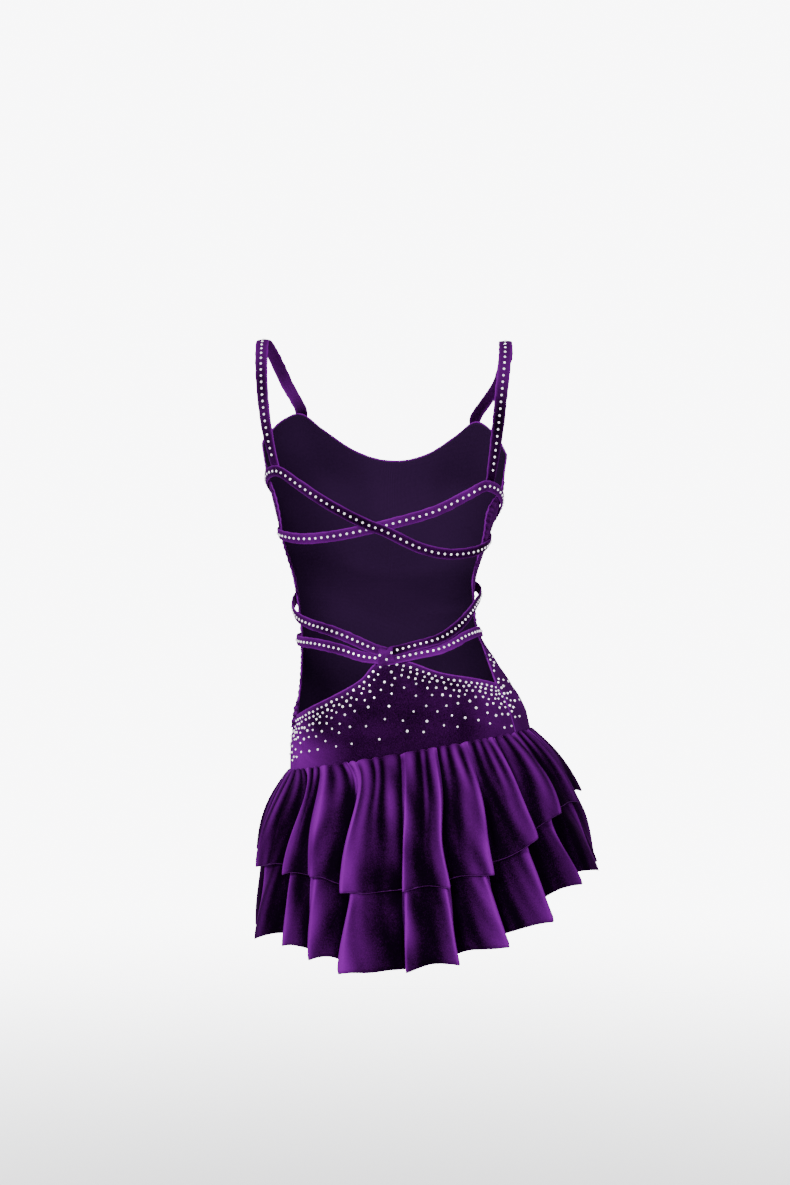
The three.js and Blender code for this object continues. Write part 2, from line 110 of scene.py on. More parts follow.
# Straps on the figure: their middle lines, and the layer that they run on.
ROUTE = "angle height layer"
FIGURE_STRAPS = {
    "cross_strap_over": table(
        ROUTE,
        (-108, -216, 0), (-97, -202, 0), (-80, -190, 0), (-63, -181, 0), (-54, -181, 0),
        (-41, -195, 0), (-20, -221, 0.6), (1, -245, 1), (22, -266, 0.4), (40, -272, 0),
        (62, -267, 0), (80, -258, 0), (96, -250, 0), (107, -244, 0),
    ),
    "cross_strap_under": table(
        ROUTE,
        (108, -220, 0), (98, -206, 0), (83, -192, 0), (67, -182, 0), (57, -181, 0), (44, -195, 0),
        (27, -218, 0), (8, -236, 0), (-7, -250, 0), (-24, -259, 0), (-44, -263, 0),
        (-68, -260, 0), (-96, -254, 0), (-107, -249, 0),
    ),
    "waist_strap_left_upper": table(
        ROUTE,
        (-113, -323, 0.3), (-104, -329, 1.2), (-84, -341, 0.4), (-67, -351, 0),
        (-48, -360, 0.2), (-28, -371, 1), (-13, -385, 1), (2, -405, 1),
    ),
    "waist_strap_left_lower": table(
        ROUTE,
        (-106, -374, 0), (-97, -375, 0), (-64, -380, 0), (-42, -385, 0), (-22, -395, 0),
        (-8, -407, 0), (2.5, -413, 0),
    ),
    "waist_strap_right_upper": table(
        ROUTE,
        (2.5, -407, 1), (18, -402, 1), (36, -396, 1), (53, -382, 0.4),
        (70, -365, 0), (88, -347, 0.6), (101, -334, 2.2), (110, -323, 2.4), (117, -315, 0.6),
    ),
    "waist_strap_right_lower": table(
        ROUTE,
        (2.5, -415, 0), (17, -412, 0), (32, -410, 0), (46, -404, 0),
        (60, -396, 0), (78, -391, 0), (98, -391, 0), (107, -392, 0),
    ),
}

# Shoulder straps: where each leaves its cross strap, the angle of the panel's corner that
# it is sewn to, and its way over the shoulder.
SHOULDER_STRAPS = {
    "shoulder_strap_left": {
        "start": (-58, -171),
        "corner": 180 + STRAP_CORNER,
        "way": table(
            "x y z lean",
            (-141, -67, -120, -28), (-149, -58, -72, -20), (-155, -36, -22, -8),
            (-158.5, 0, 1.9, 0), (-152, 30, -14, 12), (-138, 55, -50, 26),
        ),
    },
    "shoulder_strap_right": {
        "start": (62, -171),
        "corner": 180 - STRAP_CORNER,
        "way": table(
            "x y z lean",
            (152, -54, -130, 32), (158, -50, -74, 22), (161, -32, -26, 8),
            (158.5, 0, -4.1, 0), (156, 32, -20, -12), (142, 58, -54, -26),
        ),
    },
}

# Flutes of both tiers, each from the valley at its left: which way its ridge laps over the
# next valley, how deep its left valley and how high its ridge is, its share of the full
# depth high up and low down, how far the hems of the upper tier (dip) and of the lower one
# (hang) dip at the ridge, how far each of them laps, and how strong its painted highlight is
# (glow).
FOLDS = table(
    "angle way valley ridge high low dip hang lap under glow",
    (-174, -1, -0.8, 0.9, 0.8, 0.9, 0.6, 0.7, 0.5, 0.5, 0.8),
    (-157, -1, -1.0, 1.0, 1.0, 1.0, 1.0, 1.1, 1.0, 1.0, 1.0),
    (-141, -1, -0.2, 0.6, 0.7, 0.8, 0.5, 0.4, 0.4, 0.4, 0.7),
    (-124, -1, -1.0, 1.0, 1.0, 1.1, 0.9, 1.2, 0.9, 0.9, 0.9),
    (-105, -1, -0.7, 0.9, 0.8, 0.9, 0.7, 0.6, 0.6, 0.6, 0.7),
    (-88, -1, -0.9, 1.0, 1.0, 1.5, 1.0, 1.3, 0.9, 0.9, 0.5),
    (-69, -1, -0.9, 0.9, 0.9, 1.5, 1.3, 1.6, 0.9, 0.9, 0.65),
    (-47, -1, -0.9, 1.0, 0.8, 0.9, 0.9, 0.8, 1.25, 0.9, 1.1),
    (-35, -1, 0.1, 0.75, 0.7, 0.9, 0.1, 1.0, 0.1, 0.6, 0.95),
    (-19, -1, -1.0, 1.0, 1.15, 1.15, 0.7, 1.0, 0.85, 0.85, 1.1),
    (3, -1, -0.9, 0.6, 1.0, 1.0, 0.2, 0.3, 0.7, 0.7, 0.9),
    (10, 1, 0.2, 0.9, 1.0, 1.1, 0.8, 1.0, 0.9, 0.9, 0.95),
    (18, 1, -1.0, 1.0, 1.05, 1.05, 1.1, 1.0, 1.0, 1.0, 1.0),
    (33.5, 1, -1.0, 1.0, 0.95, 1.1, -0.3, 1.9, 1.15, 1.15, 0.9),
    (50, 1, -0.9, 0.9, 0.9, 1.1, 0.1, 1.0, 1.0, 1.0, 0.75),
    (66, 1, -0.8, 0.9, 0.85, 0.9, 1.2, 1.0, 0.8, 0.8, 0.5),
    (86, 1, -0.9, 0.9, 1.0, 1.0, 0.7, 0.7, 0.6, 0.6, 0.6),
    (104, 1, -0.7, 0.9, 0.8, 0.9, 0.9, 0.8, 0.9, 0.9, 0.8),
    (120, 1, -1.0, 0.8, 0.9, 1.0, 0.6, 1.0, 0.6, 0.6, 0.9),
    (137, 1, -0.3, 1.0, 0.8, 0.9, 1.0, 0.8, 0.9, 0.9, 1.0),
    (153, 1, -1.0, 0.8, 1.0, 1.0, 0.8, 0.6, 0.5, 0.5, 0.8),
    (170, 1, -0.8, 0.8, 0.8, 0.8, 0.5, 0.9, 0.7, 0.7, 0.9),
)
FOLD_REACH = 11.0  # in or out, of a flute of full depth
FOLD_FULL = 110.0  # how far below the seam the flutes have grown to their depth
FOLD_CHANGE = (100.0, 190.0)  # where their depth high up gives way to that low down
HANG_TILT = 7.5  # of the tiers, from the upright, in the worn pose
HEM_DIP = 9.0
SIDE_SEAMS = {"left": -87, "right": 86}
# How far the flutes run to the right, in mm: those of the left back just below the seam
# (aside), and those of the middle at their hems (low), where a minus is to the left.
SWEEP = table(
    "angle aside low",
    (-180, 0, 0), (-95, 0, 0), (-69, 9, 0), (-49, 32, 0), (-37, 15, 0), (-19, 22, -1),
    (0, 4, -13), (6, 2, -15), (14, 0, -10), (26, 0, -5), (46, 0, -3), (60, 0, 0), (180, 0, 0),
)
SWEEP_START = 16.0
SWEEP_END = (25.0, 145.0)
SWEEP_LOW = (60.0, 185.0)

# Each tier: how far it drops at each angle, how far it flares out and how soon it bends
# down, where it starts, whether it is covered at its top, the strength of its gathers and
# of its flutes, how wide they lap, and its columns of the table of flutes.
UPPER_TIER = {
    "drops": table(
        "angle drop",
        (-180, 90), (-90, 86), (-60, 106), (-40, 121), (-20, 144), (2, 162),
        (36, 147), (60, 107), (90, 82), (180, 90),
    ),
    "flare": 60, "bend": 55, "start": 2.2, "covered": 0.0, "gather": 1.0, "fullness": 1.0,
    "lap": 0.2, "hem": "dip", "over": "lap",
}
LOWER_TIER = {
    "drops": table(
        "angle drop",
        (-180, 182), (-90, 184), (-64, 192), (-46, 205), (-20, 240), (2, 260), (14, 254),
        (36, 236), (60, 190), (90, 175), (180, 182),
    ),
    "flare": 70, "bend": 95, "start": -1.8, "covered": 1.0, "gather": 0.0, "fullness": 0.95,
    "lap": 0.32, "hem": "hang", "over": "under",
}


# ---- Reading tables, the figure and its surface ----


def mix(a, b, t):
    """The value a fraction t of the way from a to b."""
    return a + (b - a) * t


def smoothstep(low, high, at):
    """0 below low, 1 above high, and an S-shaped rise between."""
    t = np.clip((at - low) / (high - low), 0, 1)
    return t * t * (3 - 2 * t)


def wrap_angle(angle):
    """An angle brought between -180 and 180."""
    return angle - 360 * np.round(angle / 360)


def signed_power(value, power):
    """A power that keeps the sign of what it raises."""
    return np.sign(value) * np.abs(value) ** power


def unit(vectors):
    """Vectors divided by their lengths."""
    return vectors / np.linalg.norm(vectors, axis=-1, keepdims=True)


def read_table(rows, key, column, at):
    """Cubic Hermite curve through the rows, with each slope taken between the rows beside."""
    order = np.argsort(rows[key])
    x = rows[key][order]
    y = rows[column][order]
    before = np.maximum(np.arange(x.size) - 1, 0)
    after = np.minimum(np.arange(x.size) + 1, x.size - 1)
    slope = (y[after] - y[before]) / (x[after] - x[before])
    at = np.clip(at, x[0], x[-1])
    i = np.clip(np.searchsorted(x, at, side="right") - 1, 0, x.size - 2)
    span = x[i + 1] - x[i]
    t = (at - x[i]) / span
    straight = (1 + 2 * t) * (1 - t) ** 2 * y[i] + t * t * (3 - 2 * t) * y[i + 1]
    return straight + span * (t * (1 - t) ** 2 * slope[i] + t * t * (t - 1) * slope[i + 1])


def cup_rise(angle, height):
    """How far a cup stands out: a bell curve of the angle times one of the height."""
    across = (np.abs(wrap_angle(angle)) - CUP["angle"]) / CUP["spread"]
    along = (height - CUP["height"]) / CUP["tall"]
    return CUP["reach"] * np.exp(-across * across - along * along)


def figure_point(angle, height):
    """A ring of superellipse arcs at each height, shifted, tilted and turned by the table."""
    side = np.sin(np.radians(angle))
    rear = np.cos(np.radians(angle))
    column = {name: read_table(FIGURE, "height", name, height) for name in FIGURE}
    depth = np.where(rear > 0, column["back"], column["front"])
    x = column["half"] * signed_power(side, 2 / RING_POWER)
    y = -depth * signed_power(rear, 2 / RING_POWER) + cup_rise(angle, height)
    turn = np.radians(column["turn"])
    tilt = np.radians(column["tilt"])
    aside = x * np.cos(turn) - y * np.sin(turn)
    ahead = x * np.sin(turn) + y * np.cos(turn)
    rise = aside * np.sin(tilt) + height
    return np.stack([aside * np.cos(tilt) + column["shift"], ahead, rise], -1)


def figure_frame(angle, height):
    """A point of the figure, its two directions by differences, and the way out of it."""
    step = 0.2
    angle, height = np.broadcast_arrays(angle * 1.0, height * 1.0)
    point = figure_point(angle, height)
    round_ = (figure_point(angle + step, height) - figure_point(angle - step, height)) / (2 * step)
    up = (figure_point(angle, height + step) - figure_point(angle, height - step)) / (2 * step)
    return point, round_, up, unit(np.cross(round_, up))


def on_figure(angle, height, distance):
    """The figure's surface moved a distance out of it."""
    point, _, _, out = figure_frame(angle, height)
    return point + out * np.asarray(distance)[..., None]


def edge_of_panel(side, height):
    """Degrees from the centre back to the panel's right or left edge."""
    return read_table(PANEL_EDGE, "height", side, height)


def yoke_top(angle):
    """The height of the yoke's peaked upper edge."""
    return read_table(YOKE_TOP, "angle", "height", angle)


def smooth_path(points, t):
    """Centripetal Catmull-Rom curve through the points, read at fractions t of their count."""
    p = np.asarray(points, float)
    p = np.vstack([2 * p[:1] - p[1:2], p, 2 * p[-1:] - p[-2:-1]])
    place = np.clip(t, 0, 1) * (len(p) - 3)
    i = np.minimum(place.astype(int), len(p) - 4)
    w = (place - i)[:, None]
    a, b, c, d = (p[i + k] for k in range(4))
    near = 1e-4

    def gap(u, v):
        """The square root of the distance between two points."""
        return np.sqrt(np.linalg.norm(v - u, axis=1, keepdims=True))

    middle = np.maximum(gap(b, c), near)
    first = np.where(gap(a, b) < near, middle, gap(a, b))
    last = np.where(gap(c, d) < near, middle, gap(c, d))
    leave = ((b - a) / first - (c - a) / (first + middle) + (c - b) / middle) * middle
    arrive = ((c - b) / middle - (d - b) / (middle + last) + (d - c) / last) * middle
    square = -3 * b + 3 * c - 2 * leave - arrive
    cube = 2 * b - 2 * c + leave + arrive
    return b + leave * w + square * w**2 + cube * w**3


def soft_noise(seed, u, v, wavelength, waves=7):
    """A sum of sine waves with seeded directions and phases, about -1 to 1."""
    random = np.random.default_rng(seed)
    total = np.zeros(np.broadcast(u, v).shape)
    for _ in range(waves):
        heading = random.uniform(0, math.tau)
        pace = math.tau / (wavelength * random.uniform(0.7, 1.6))
        phase = random.uniform(0, math.tau)
        total += np.sin((u * math.cos(heading) + v * math.sin(heading)) * pace + phase)
    return total / math.sqrt(waves)


def ring_noise(seed, angle, mm_per_degree, along, wavelength):
    """Soft noise read on a circle whose arc is the way round, so that it closes on itself."""
    radius = math.degrees(mm_per_degree)
    turned = np.radians(angle)
    return soft_noise(seed, radius * np.sin(turned), radius * np.cos(turned) + along, wavelength)


# ---- Making meshes ----


def grid_faces(rows, columns, around=False):
    """Quads between neighbouring points of a grid; around joins the last column to the first."""
    index = np.arange(rows * columns).reshape(rows, columns)
    left = index if around else index[:, :-1]
    right = np.roll(index, -1, axis=1) if around else index[:, 1:]
    return np.stack([left[:-1], left[1:], right[1:], right[:-1]], -1).reshape(-1, 4)


def make_piece(name, points, faces, materials, uv=None, painted_light_and_tone=None, smooth=True):
    """A mesh object with its place in its mesh, riding on the one body of the dress."""
    mesh = bpy.data.meshes.new(name)
    mesh.from_pydata((points.reshape(-1, 3) * MM).tolist(), [], [list(f) for f in faces])
    mesh.polygons.foreach_set("use_smooth", np.full(len(mesh.polygons), smooth))
    if uv is not None:
        corners = np.zeros(len(mesh.loops), int)
        mesh.loops.foreach_get("vertex_index", corners)
        layer = mesh.uv_layers.new(name="cloth")
        layer.data.foreach_set("uv", (uv.reshape(-1, 2)[corners] * MM).ravel())
    # painted_light_and_tone: on velvet, painted shade and painted highlights mixed into the base
    # colour; on stones, a random tone
    if painted_light_and_tone is not None:
        values = mesh.attributes.new("painted_light_and_tone", "FLOAT", "POINT")
        values.data.foreach_set("value", np.broadcast_to(painted_light_and_tone, points.shape[:-1]).ravel())
    for material in materials:
        mesh.materials.append(material)
    mesh.update()
    piece = bpy.data.objects.new(name, mesh)
    bpy.context.scene.collection.objects.link(piece)
    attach(piece, "root")
    return piece


def thicken(piece, thickness, offset):
    """A live wall on a sheet, with the second material on its reverse side."""
    wall = piece.modifiers.new("wall", "SOLIDIFY")
    wall.thickness = thickness * MM
    wall.offset = offset
    wall.use_rim = True
    wall.material_offset = 1
    return piece


def cloth_sheet(name, points, velvets, uv, painted_light_and_tone, thickness, offset=-1, flipped=False):
    """A grid of points as a velvet sheet with a live wall; uv is a pair of arrays."""
    faces = grid_faces(*points.shape[:2])
    faces = faces[:, ::-1] if flipped else faces
    spread = np.stack(np.broadcast_arrays(*uv), -1)
    piece = make_piece(name, points, faces, velvets, spread, np.clip(painted_light_and_tone, 0, 1))
    return thicken(piece, thickness, offset)


def turns_round(sides):
    """Equal steps of a full turn, in radians."""
    return np.arange(sides) * math.tau / sides


def length_along(path):
    """The length of a path up to each of its points."""
    steps = np.linalg.norm(np.diff(path, axis=0), axis=1)
    return np.concatenate([[0], np.cumsum(steps)])


def tube(path, radius, sides, outs):
    """A round section of equal sides carried along a path, held upright by its outs."""
    along = unit(np.gradient(path, axis=0))
    sideways = unit(np.cross(outs, along))
    upright = np.cross(along, sideways)
    turn = turns_round(sides)
    cosine, sine = np.cos(turn)[:, None], np.sin(turn)[:, None]
    ring = cosine * sideways[:, None] + sine * upright[:, None]
    return path[:, None] + ring * np.asarray(radius)[..., None, None]


def capped_faces(rows, sides):
    """Faces of a tube with a flat cap on each end."""
    faces = [list(f) for f in grid_faces(rows, sides, around=True)[:, ::-1]]
    first = list(range(sides))[::-1]
    last = list(range((rows - 1) * sides, rows * sides))
    return faces + [first, last]


# ---- Materials ----

# The velvet's painted shade colour and painted highlight colour: its base colour is mixed between
# them by painted light, and shifted by random patches and grain
PAINTED_SHADE_PURPLE = (0.0025, 0.0001, 0.0042, 1)
PAINTED_HIGHLIGHT_PURPLE = (0.21, 0.005, 0.32, 1)
SPECK = 0.5  # how strongly the fine grain shows in the colour
PILE_GRAIN = 0.35  # and in the height
COLOUR_LOW, COLOUR_HIGH, COLOUR_OUT = 6, 7, 2  # a colour mix node's sockets


def add_node(tree, kind, place, **values):
    """A node with its settings, and with its named sockets' values in a dict of sockets."""
    node = tree.nodes.new(kind)
    node.location = place
    for name, value in values.pop("sockets", {}).items():
        node.inputs[name].default_value = value
    for name, value in values.items():
        setattr(node, name, value)
    return node


def sum_node(tree, operation, place, second=0.5, third=0.5, **values):
    """A maths node, with the values of its second and third numbers unless they are linked."""
    sockets = {1: second, 2: third}
    return add_node(tree, "ShaderNodeMath", place, operation=operation, sockets=sockets, **values)


def noise_node(tree, place, scale, detail, roughness=0.5):
    """A noise texture of a scale, a detail and a roughness."""
    sockets = {"Scale": scale, "Detail": detail, "Roughness": roughness}
    return add_node(tree, "ShaderNodeTexNoise", place, sockets=sockets)


def wave_node(tree, place, way, scale, distortion, detail=2):
    """Bands across one way of the cloth."""
    sockets = {"Scale": scale, "Distortion": distortion, "Detail": detail}
    return add_node(tree, "ShaderNodeTexWave", place, bands_direction=way, sockets=sockets)


def blend_node(tree, place, low, high):
    """A mix of two colours."""
    sockets = {COLOUR_LOW: low, COLOUR_HIGH: high}
    return add_node(tree, "ShaderNodeMix", place, data_type="RGBA", sockets=sockets)


def wire(tree, *links):
    """Links, each a node and its output, then a node and its input."""
    for source, output, target, socket in links:
        tree.links.new(source.outputs[output], target.inputs[socket])


def pile_group():
    """Velvet pile: brushed patches and crushed marks shift the colour, fine grain the height; the
    painted light input mixes the base colour from painted shade to painted highlight.
    """
    group = bpy.data.node_groups.new("velvet_pile", "ShaderNodeTree")
    face = group.interface
    for name, kind, default in (
        ("Painted shade", "Color", PAINTED_SHADE_PURPLE),
        ("Bright", "Color", PAINTED_HIGHLIGHT_PURPLE),
        ("Lift", "Float", 0.5),
        ("Brushed", "Float", 0.3),
        ("Grain", "Float", 0.3),
    ):
        socket = face.new_socket(name, in_out="INPUT", socket_type="NodeSocket" + kind)
        socket.default_value = default
    for name, kind in (("Color", "Color"), ("Roughness", "Float"), ("Normal", "Vector")):
        face.new_socket(name, in_out="OUTPUT", socket_type="NodeSocket" + kind)
    start = add_node(group, "NodeGroupInput", (-900, 0))
    end = add_node(group, "NodeGroupOutput", (900, 0))
    where = add_node(group, "ShaderNodeTexCoord", (-900, -300))
    patches = noise_node(group, (-650, 200), 34, 2.5, 0.55)
    marks = noise_node(group, (-650, -50), 230, 3, 0.6)
    grain = noise_node(group, (-650, -300), 1000, 2, 0.6)
    both = sum_node(group, "ADD", (-400, 100))
    centred = sum_node(group, "SUBTRACT", (-250, 100), 1.0)
    shifted = sum_node(group, "MULTIPLY_ADD", (-100, 100))
    speck = sum_node(group, "MULTIPLY_ADD", (50, -100), SPECK)
    level = sum_node(group, "SUBTRACT", (200, 0), SPECK / 2, use_clamp=True)
    # Base colour from painted shade to painted highlight
    colour = blend_node(group, (400, 100), PAINTED_SHADE_PURPLE, PAINTED_HIGHLIGHT_PURPLE)
    span = {"To Min": 0.62, "To Max": 0.8}
    rough = add_node(group, "ShaderNodeMapRange", (400, -100), sockets=span)
    height = sum_node(group, "MULTIPLY_ADD", (200, -300), 1.6)
    bump = add_node(group, "ShaderNodeBump", (400, -300), sockets={"Distance": 0.0006})
    wire(
        group,
        (where, "Object", patches, "Vector"),
        (where, "Object", marks, "Vector"),
        (where, "Object", grain, "Vector"),
        (patches, "Fac", both, 0),
        (marks, "Fac", both, 1),
        (both, 0, centred, 0),
        (centred, 0, shifted, 0),
        (start, "Brushed", shifted, 1),
        (start, "Lift", shifted, 2),
        (grain, "Fac", speck, 0),
        (shifted, 0, speck, 2),
        (speck, 0, level, 0),
        (level, 0, colour, "Factor"),
        (start, "Painted shade", colour, COLOUR_LOW),
        (start, "Bright", colour, COLOUR_HIGH),
        (patches, "Fac", rough, "Value"),
        (marks, "Fac", height, 0),
        (grain, "Fac", height, 2),
        (height, 0, bump, "Height"),
        (start, "Grain", bump, "Strength"),
        (colour, COLOUR_OUT, end, "Color"),
        (rough, "Result", end, "Roughness"),
        (bump, "Normal", end, "Normal"),
    )
    return group


def principled(name, **sockets):
    """A material whose shader's own sockets hold the constants; returns it with the shader."""
    material = bpy.data.materials.new(name)
    material.use_nodes = True
    shader = material.node_tree.nodes["Principled BSDF"]
    for socket, value in sockets.items():
        shader.inputs[socket.replace("_", " ")].default_value = value
    return material, shader


def velvet(name, base_painted_light, painted_light_gain, sheen, brushed, painted_sheen_gain):
    """Velvet: painted shade where its pile faces the eye and a painted purple sheen in its base
    colour where it turns away, besides the shader's own sheen; the painted_light_and_tone
    attribute brings in painted shade and highlights.
    """
    material, shader = principled(
        name,
        Sheen_Weight=sheen,
        Sheen_Roughness=0.34,
        Sheen_Tint=(0.62, 0.06, 0.8, 1),
        Specular_IOR_Level=0.012,
    )
    tree = material.node_tree
    painted_light_and_tone = add_node(tree, "ShaderNodeAttribute", (-800, 0), attribute_name="painted_light_and_tone")
    scaled = sum_node(tree, "MULTIPLY_ADD", (-600, 0), painted_light_gain, base_painted_light)
    cloth = add_node(tree, "ShaderNodeGroup", (-350, 0), node_tree=PILE)
    sockets = {"Painted shade": PAINTED_SHADE_PURPLE, "Bright": PAINTED_HIGHLIGHT_PURPLE, "Brushed": brushed, "Grain": PILE_GRAIN}
    for socket, value in sockets.items():
        cloth.inputs[socket].default_value = value
    # Painted sheen: the base colour is made brighter where the surface turns away from the eye
    facing = add_node(tree, "ShaderNodeLayerWeight", (-1000, -250), sockets={"Blend": 0.35})
    grazing = sum_node(tree, "POWER", (-800, -250), 2.5)
    painted_rim_sheen = sum_node(tree, "MULTIPLY_ADD", (-500, -250), painted_sheen_gain)
    wire(
        tree,
        (painted_light_and_tone, "Fac", scaled, 0),
        (facing, "Facing", grazing, 0),
        (grazing, 0, painted_rim_sheen, 0),
        (scaled, 0, painted_rim_sheen, 2),
        (painted_rim_sheen, 0, cloth, "Lift"),
        (cloth, "Color", shader, "Base Color"),
        (cloth, "Roughness", shader, "Roughness"),
        (cloth, "Normal", shader, "Normal"),
    )
    return material


def yarn_finish(tree, shader, pattern, output, low, high, strength):
    """Colours a pattern of yarn and raises it, both into the shader."""
    colour = blend_node(tree, (-200, 100), low, high)
    depth = {"Distance": 0.0003, "Strength": strength}
    bump = add_node(tree, "ShaderNodeBump", (-200, -150), sockets=depth)
    wire(
        tree,
        (pattern, output, colour, "Factor"),
        (pattern, output, bump, "Height"),
        (colour, COLOUR_OUT, shader, "Base Color"),
        (bump, "Normal", shader, "Normal"),
    )


def knit_backing():
    """The reverse of the velvet: a plain dark knit with fine ribs across and along."""
    material, shader = principled("knit_backing", Roughness=0.85, Specular_IOR_Level=0.08)
    tree = material.node_tree
    where = add_node(tree, "ShaderNodeUVMap", (-900, 0), uv_map="cloth")
    ribs = wave_node(tree, (-650, 100), "X", 260, 0.4)
    rows = wave_node(tree, (-650, -150), "Y", 200, 0.4)
    knit = sum_node(tree, "MULTIPLY", (-400, 0))
    wire(
        tree,
        (where, "UV", ribs, "Vector"),
        (where, "UV", rows, "Vector"),
        (ribs, "Fac", knit, 0),
        (rows, "Fac", knit, 1),
    )
    low, high = (0.018, 0.004, 0.03, 1), (0.032, 0.008, 0.052, 1)
    yarn_finish(tree, shader, knit, "Value", low, high, 0.5)
    return material


def sewing_thread():
    """Purple thread: turns of yarn across the edge that it covers, a little uneven in colour."""
    material, shader = principled("sewing_thread", Roughness=0.6, Specular_IOR_Level=0.12)
    tree = material.node_tree
    where = add_node(tree, "ShaderNodeUVMap", (-900, 0), uv_map="cloth")
    turns = wave_node(tree, (-650, 0), "X", 280, 1.2, 1)
    wire(tree, (where, "UV", turns, "Vector"))
    low, high = (0.03, 0.001, 0.045, 1), (0.15, 0.008, 0.22, 1)
    yarn_finish(tree, shader, turns, "Fac", low, high, 0.6)
    return material


def cut_stone():
    """Clear cut stone on silver foil: a bright mirror, its hint of lilac changed by stone, with a
    painted glow: it emits its own colour though it is no lamp.
    """
    # The emission is a painted glow that stands in for the stones' sparkle
    material, shader = principled(
        "cut_stone",
        Metallic=0.55,
        Roughness=0.16,
        Coat_Weight=1.0,
        Coat_Roughness=0.03,
        Emission_Strength=1.6,
    )
    tree = material.node_tree
    tone = add_node(tree, "ShaderNodeAttribute", (-600, 0), attribute_name="painted_light_and_tone")
    colour = blend_node(tree, (-300, 0), (0.86, 0.78, 0.94, 1), (1.0, 0.98, 1.0, 1))
    wire(
        tree,
        (tone, "Fac", colour, "Factor"),
        (colour, COLOUR_OUT, shader, "Base Color"),
        (colour, COLOUR_OUT, shader, "Emission Color"),
    )
    return material


PILE = pile_group()
# Each velvet: base painted light, painted light gain, sheen, brushed patches and painted sheen
# gain
TIER_VELVET = velvet("tier_velvet", -0.055, 1.2, 0.1, 0.09, 0.3)
PANEL_VELVET = velvet("panel_velvet", -0.02, 0.85, 0.06, 0.045, 0.25)
STRAP_VELVET = velvet("strap_velvet", -0.02, 0.9, 0.25, 0.12, 0.2)
BACKING = knit_backing()
THREAD = sewing_thread()
STONE = cut_stone()

# ---- Creases ----

# Soft ridges and troughs of the stretched cloth: the two ends of each one's middle line,
# its width and its rise, with troughs below zero.
CREASE = "from_angle from_height to_angle to_height width rise"
YOKE_CREASES = table(
    CREASE,
    (-64, -474, -46, -505, 4.0, 0.8),
    (-60, -486, -38, -522, 3.5, -0.6),
    (-66, -494, -52, -524, 4.5, 0.7),
    (-56, -470, -30, -497, 5.0, 0.5),
    (-50, -508, -36, -528, 3.0, 0.5),
    (-67, -510, -60, -529, 3.5, -0.6),
    (-34, -462, -12, -478, 6.0, 0.35),
    (-6, -428, -10, -470, 7.0, 0.4),
    (6, -424, 16, -462, 6.0, 0.4),
    (22, -448, 40, -475, 7.0, 0.35),
    (46, -462, 64, -496, 5.0, 0.55),
    (56, -478, 66, -516, 4.5, -0.5),
    (38, -492, 62, -524, 6.0, 0.4),
    (-20, -500, 8, -515, 8.0, -0.35),
    (12, -496, 34, -512, 8.0, 0.3),
)
PANEL_CREASES = table(
    CREASE,
    (100, -228, 132, -214, 5.0, 0.8),
    (104, -246, 140, -226, 6.0, -0.6),
    (262, -226, 228, -212, 5.0, 0.8),
    (258, -244, 222, -228, 6.0, -0.6),
    (104, -332, 150, -346, 6.0, 0.8),
    (110, -352, 166, -360, 5.0, -0.7),
    (106, -372, 158, -372, 6.5, 0.8),
    (256, -338, 206, -350, 6.0, 0.8),
    (254, -356, 214, -362, 5.0, -0.7),
    (250, -378, 198, -382, 6.5, 0.8),
    (92, -420, 128, -446, 7.0, 0.9),
    (84, -452, 116, -486, 6.0, -0.7),
    (80, -476, 104, -516, 6.5, 0.9),
    (268, -424, 234, -450, 7.0, 0.9),
    (276, -456, 246, -490, 6.0, -0.7),
    (280, -480, 258, -518, 6.5, 0.9),
    (168, -404, 140, -418, 8.0, 0.5),
    (176, -270, 184, -330, 9.0, -0.4),
    (150, -262, 158, -312, 8.0, 0.4),
    (212, -262, 204, -316, 8.0, 0.4),
    (192, -440, 222, -470, 9.0, 0.5),
    (166, -450, 134, -484, 9.0, -0.5),
)

CREASE_BOW = 3.0  # how far a crease's line bows out at its middle


def crease_rise(creases, angle, height):
    """A bell curve across each crease's line, faded to nothing towards its two ends."""
    total = np.zeros(np.broadcast(angle, height).shape)
    for row in zip(*creases.values()):
        from_angle, from_height, to_angle, to_height, width, rise = row
        run = np.array([(to_angle - from_angle) * MM_PER_DEGREE, to_height - from_height])
        u = (angle - from_angle) * MM_PER_DEGREE
        v = height - from_height
        t = (u * run[0] + v * run[1]) / (run @ run)
        bow = CREASE_BOW * np.sin(np.pi * np.clip(t, 0, 1))
        aside = (u * run[1] - v * run[0]) / np.sqrt(run @ run) - bow
        fade = smoothstep(-0.1, 0.3, t) * (1 - smoothstep(0.6, 1.1, t))
        total += rise * fade * np.exp(-((aside / width) ** 2))
    return total


# ---- Front panel and hip yoke ----

PLACING_PASSES = 4  # each brings a grid's angles and heights closer to the curved edges
PANEL_WALL = 1.7
EDGE_ROLL = 1.15
YOKE_ROLL = 1.25
ROLL_SINK = 0.8  # how far a roll's middle lies below the face of its cloth
CLOTH_UV = 2.2  # mm of cloth to a degree, for the weave
PUCKER_RISE = 0.45
PUCKER_REACH = 7  # how far in from the panel's elastic edges they fade
PUCKER_PITCH = 8.5
BINDING_PITCH = 7.5
BINDING_TOP = -172
BINDING_FOOT = -428
TAB_DROP = 52  # how much further down the binding with a tab runs
BINDING_WALL = 0.6
LOOP_WALL = 0.8


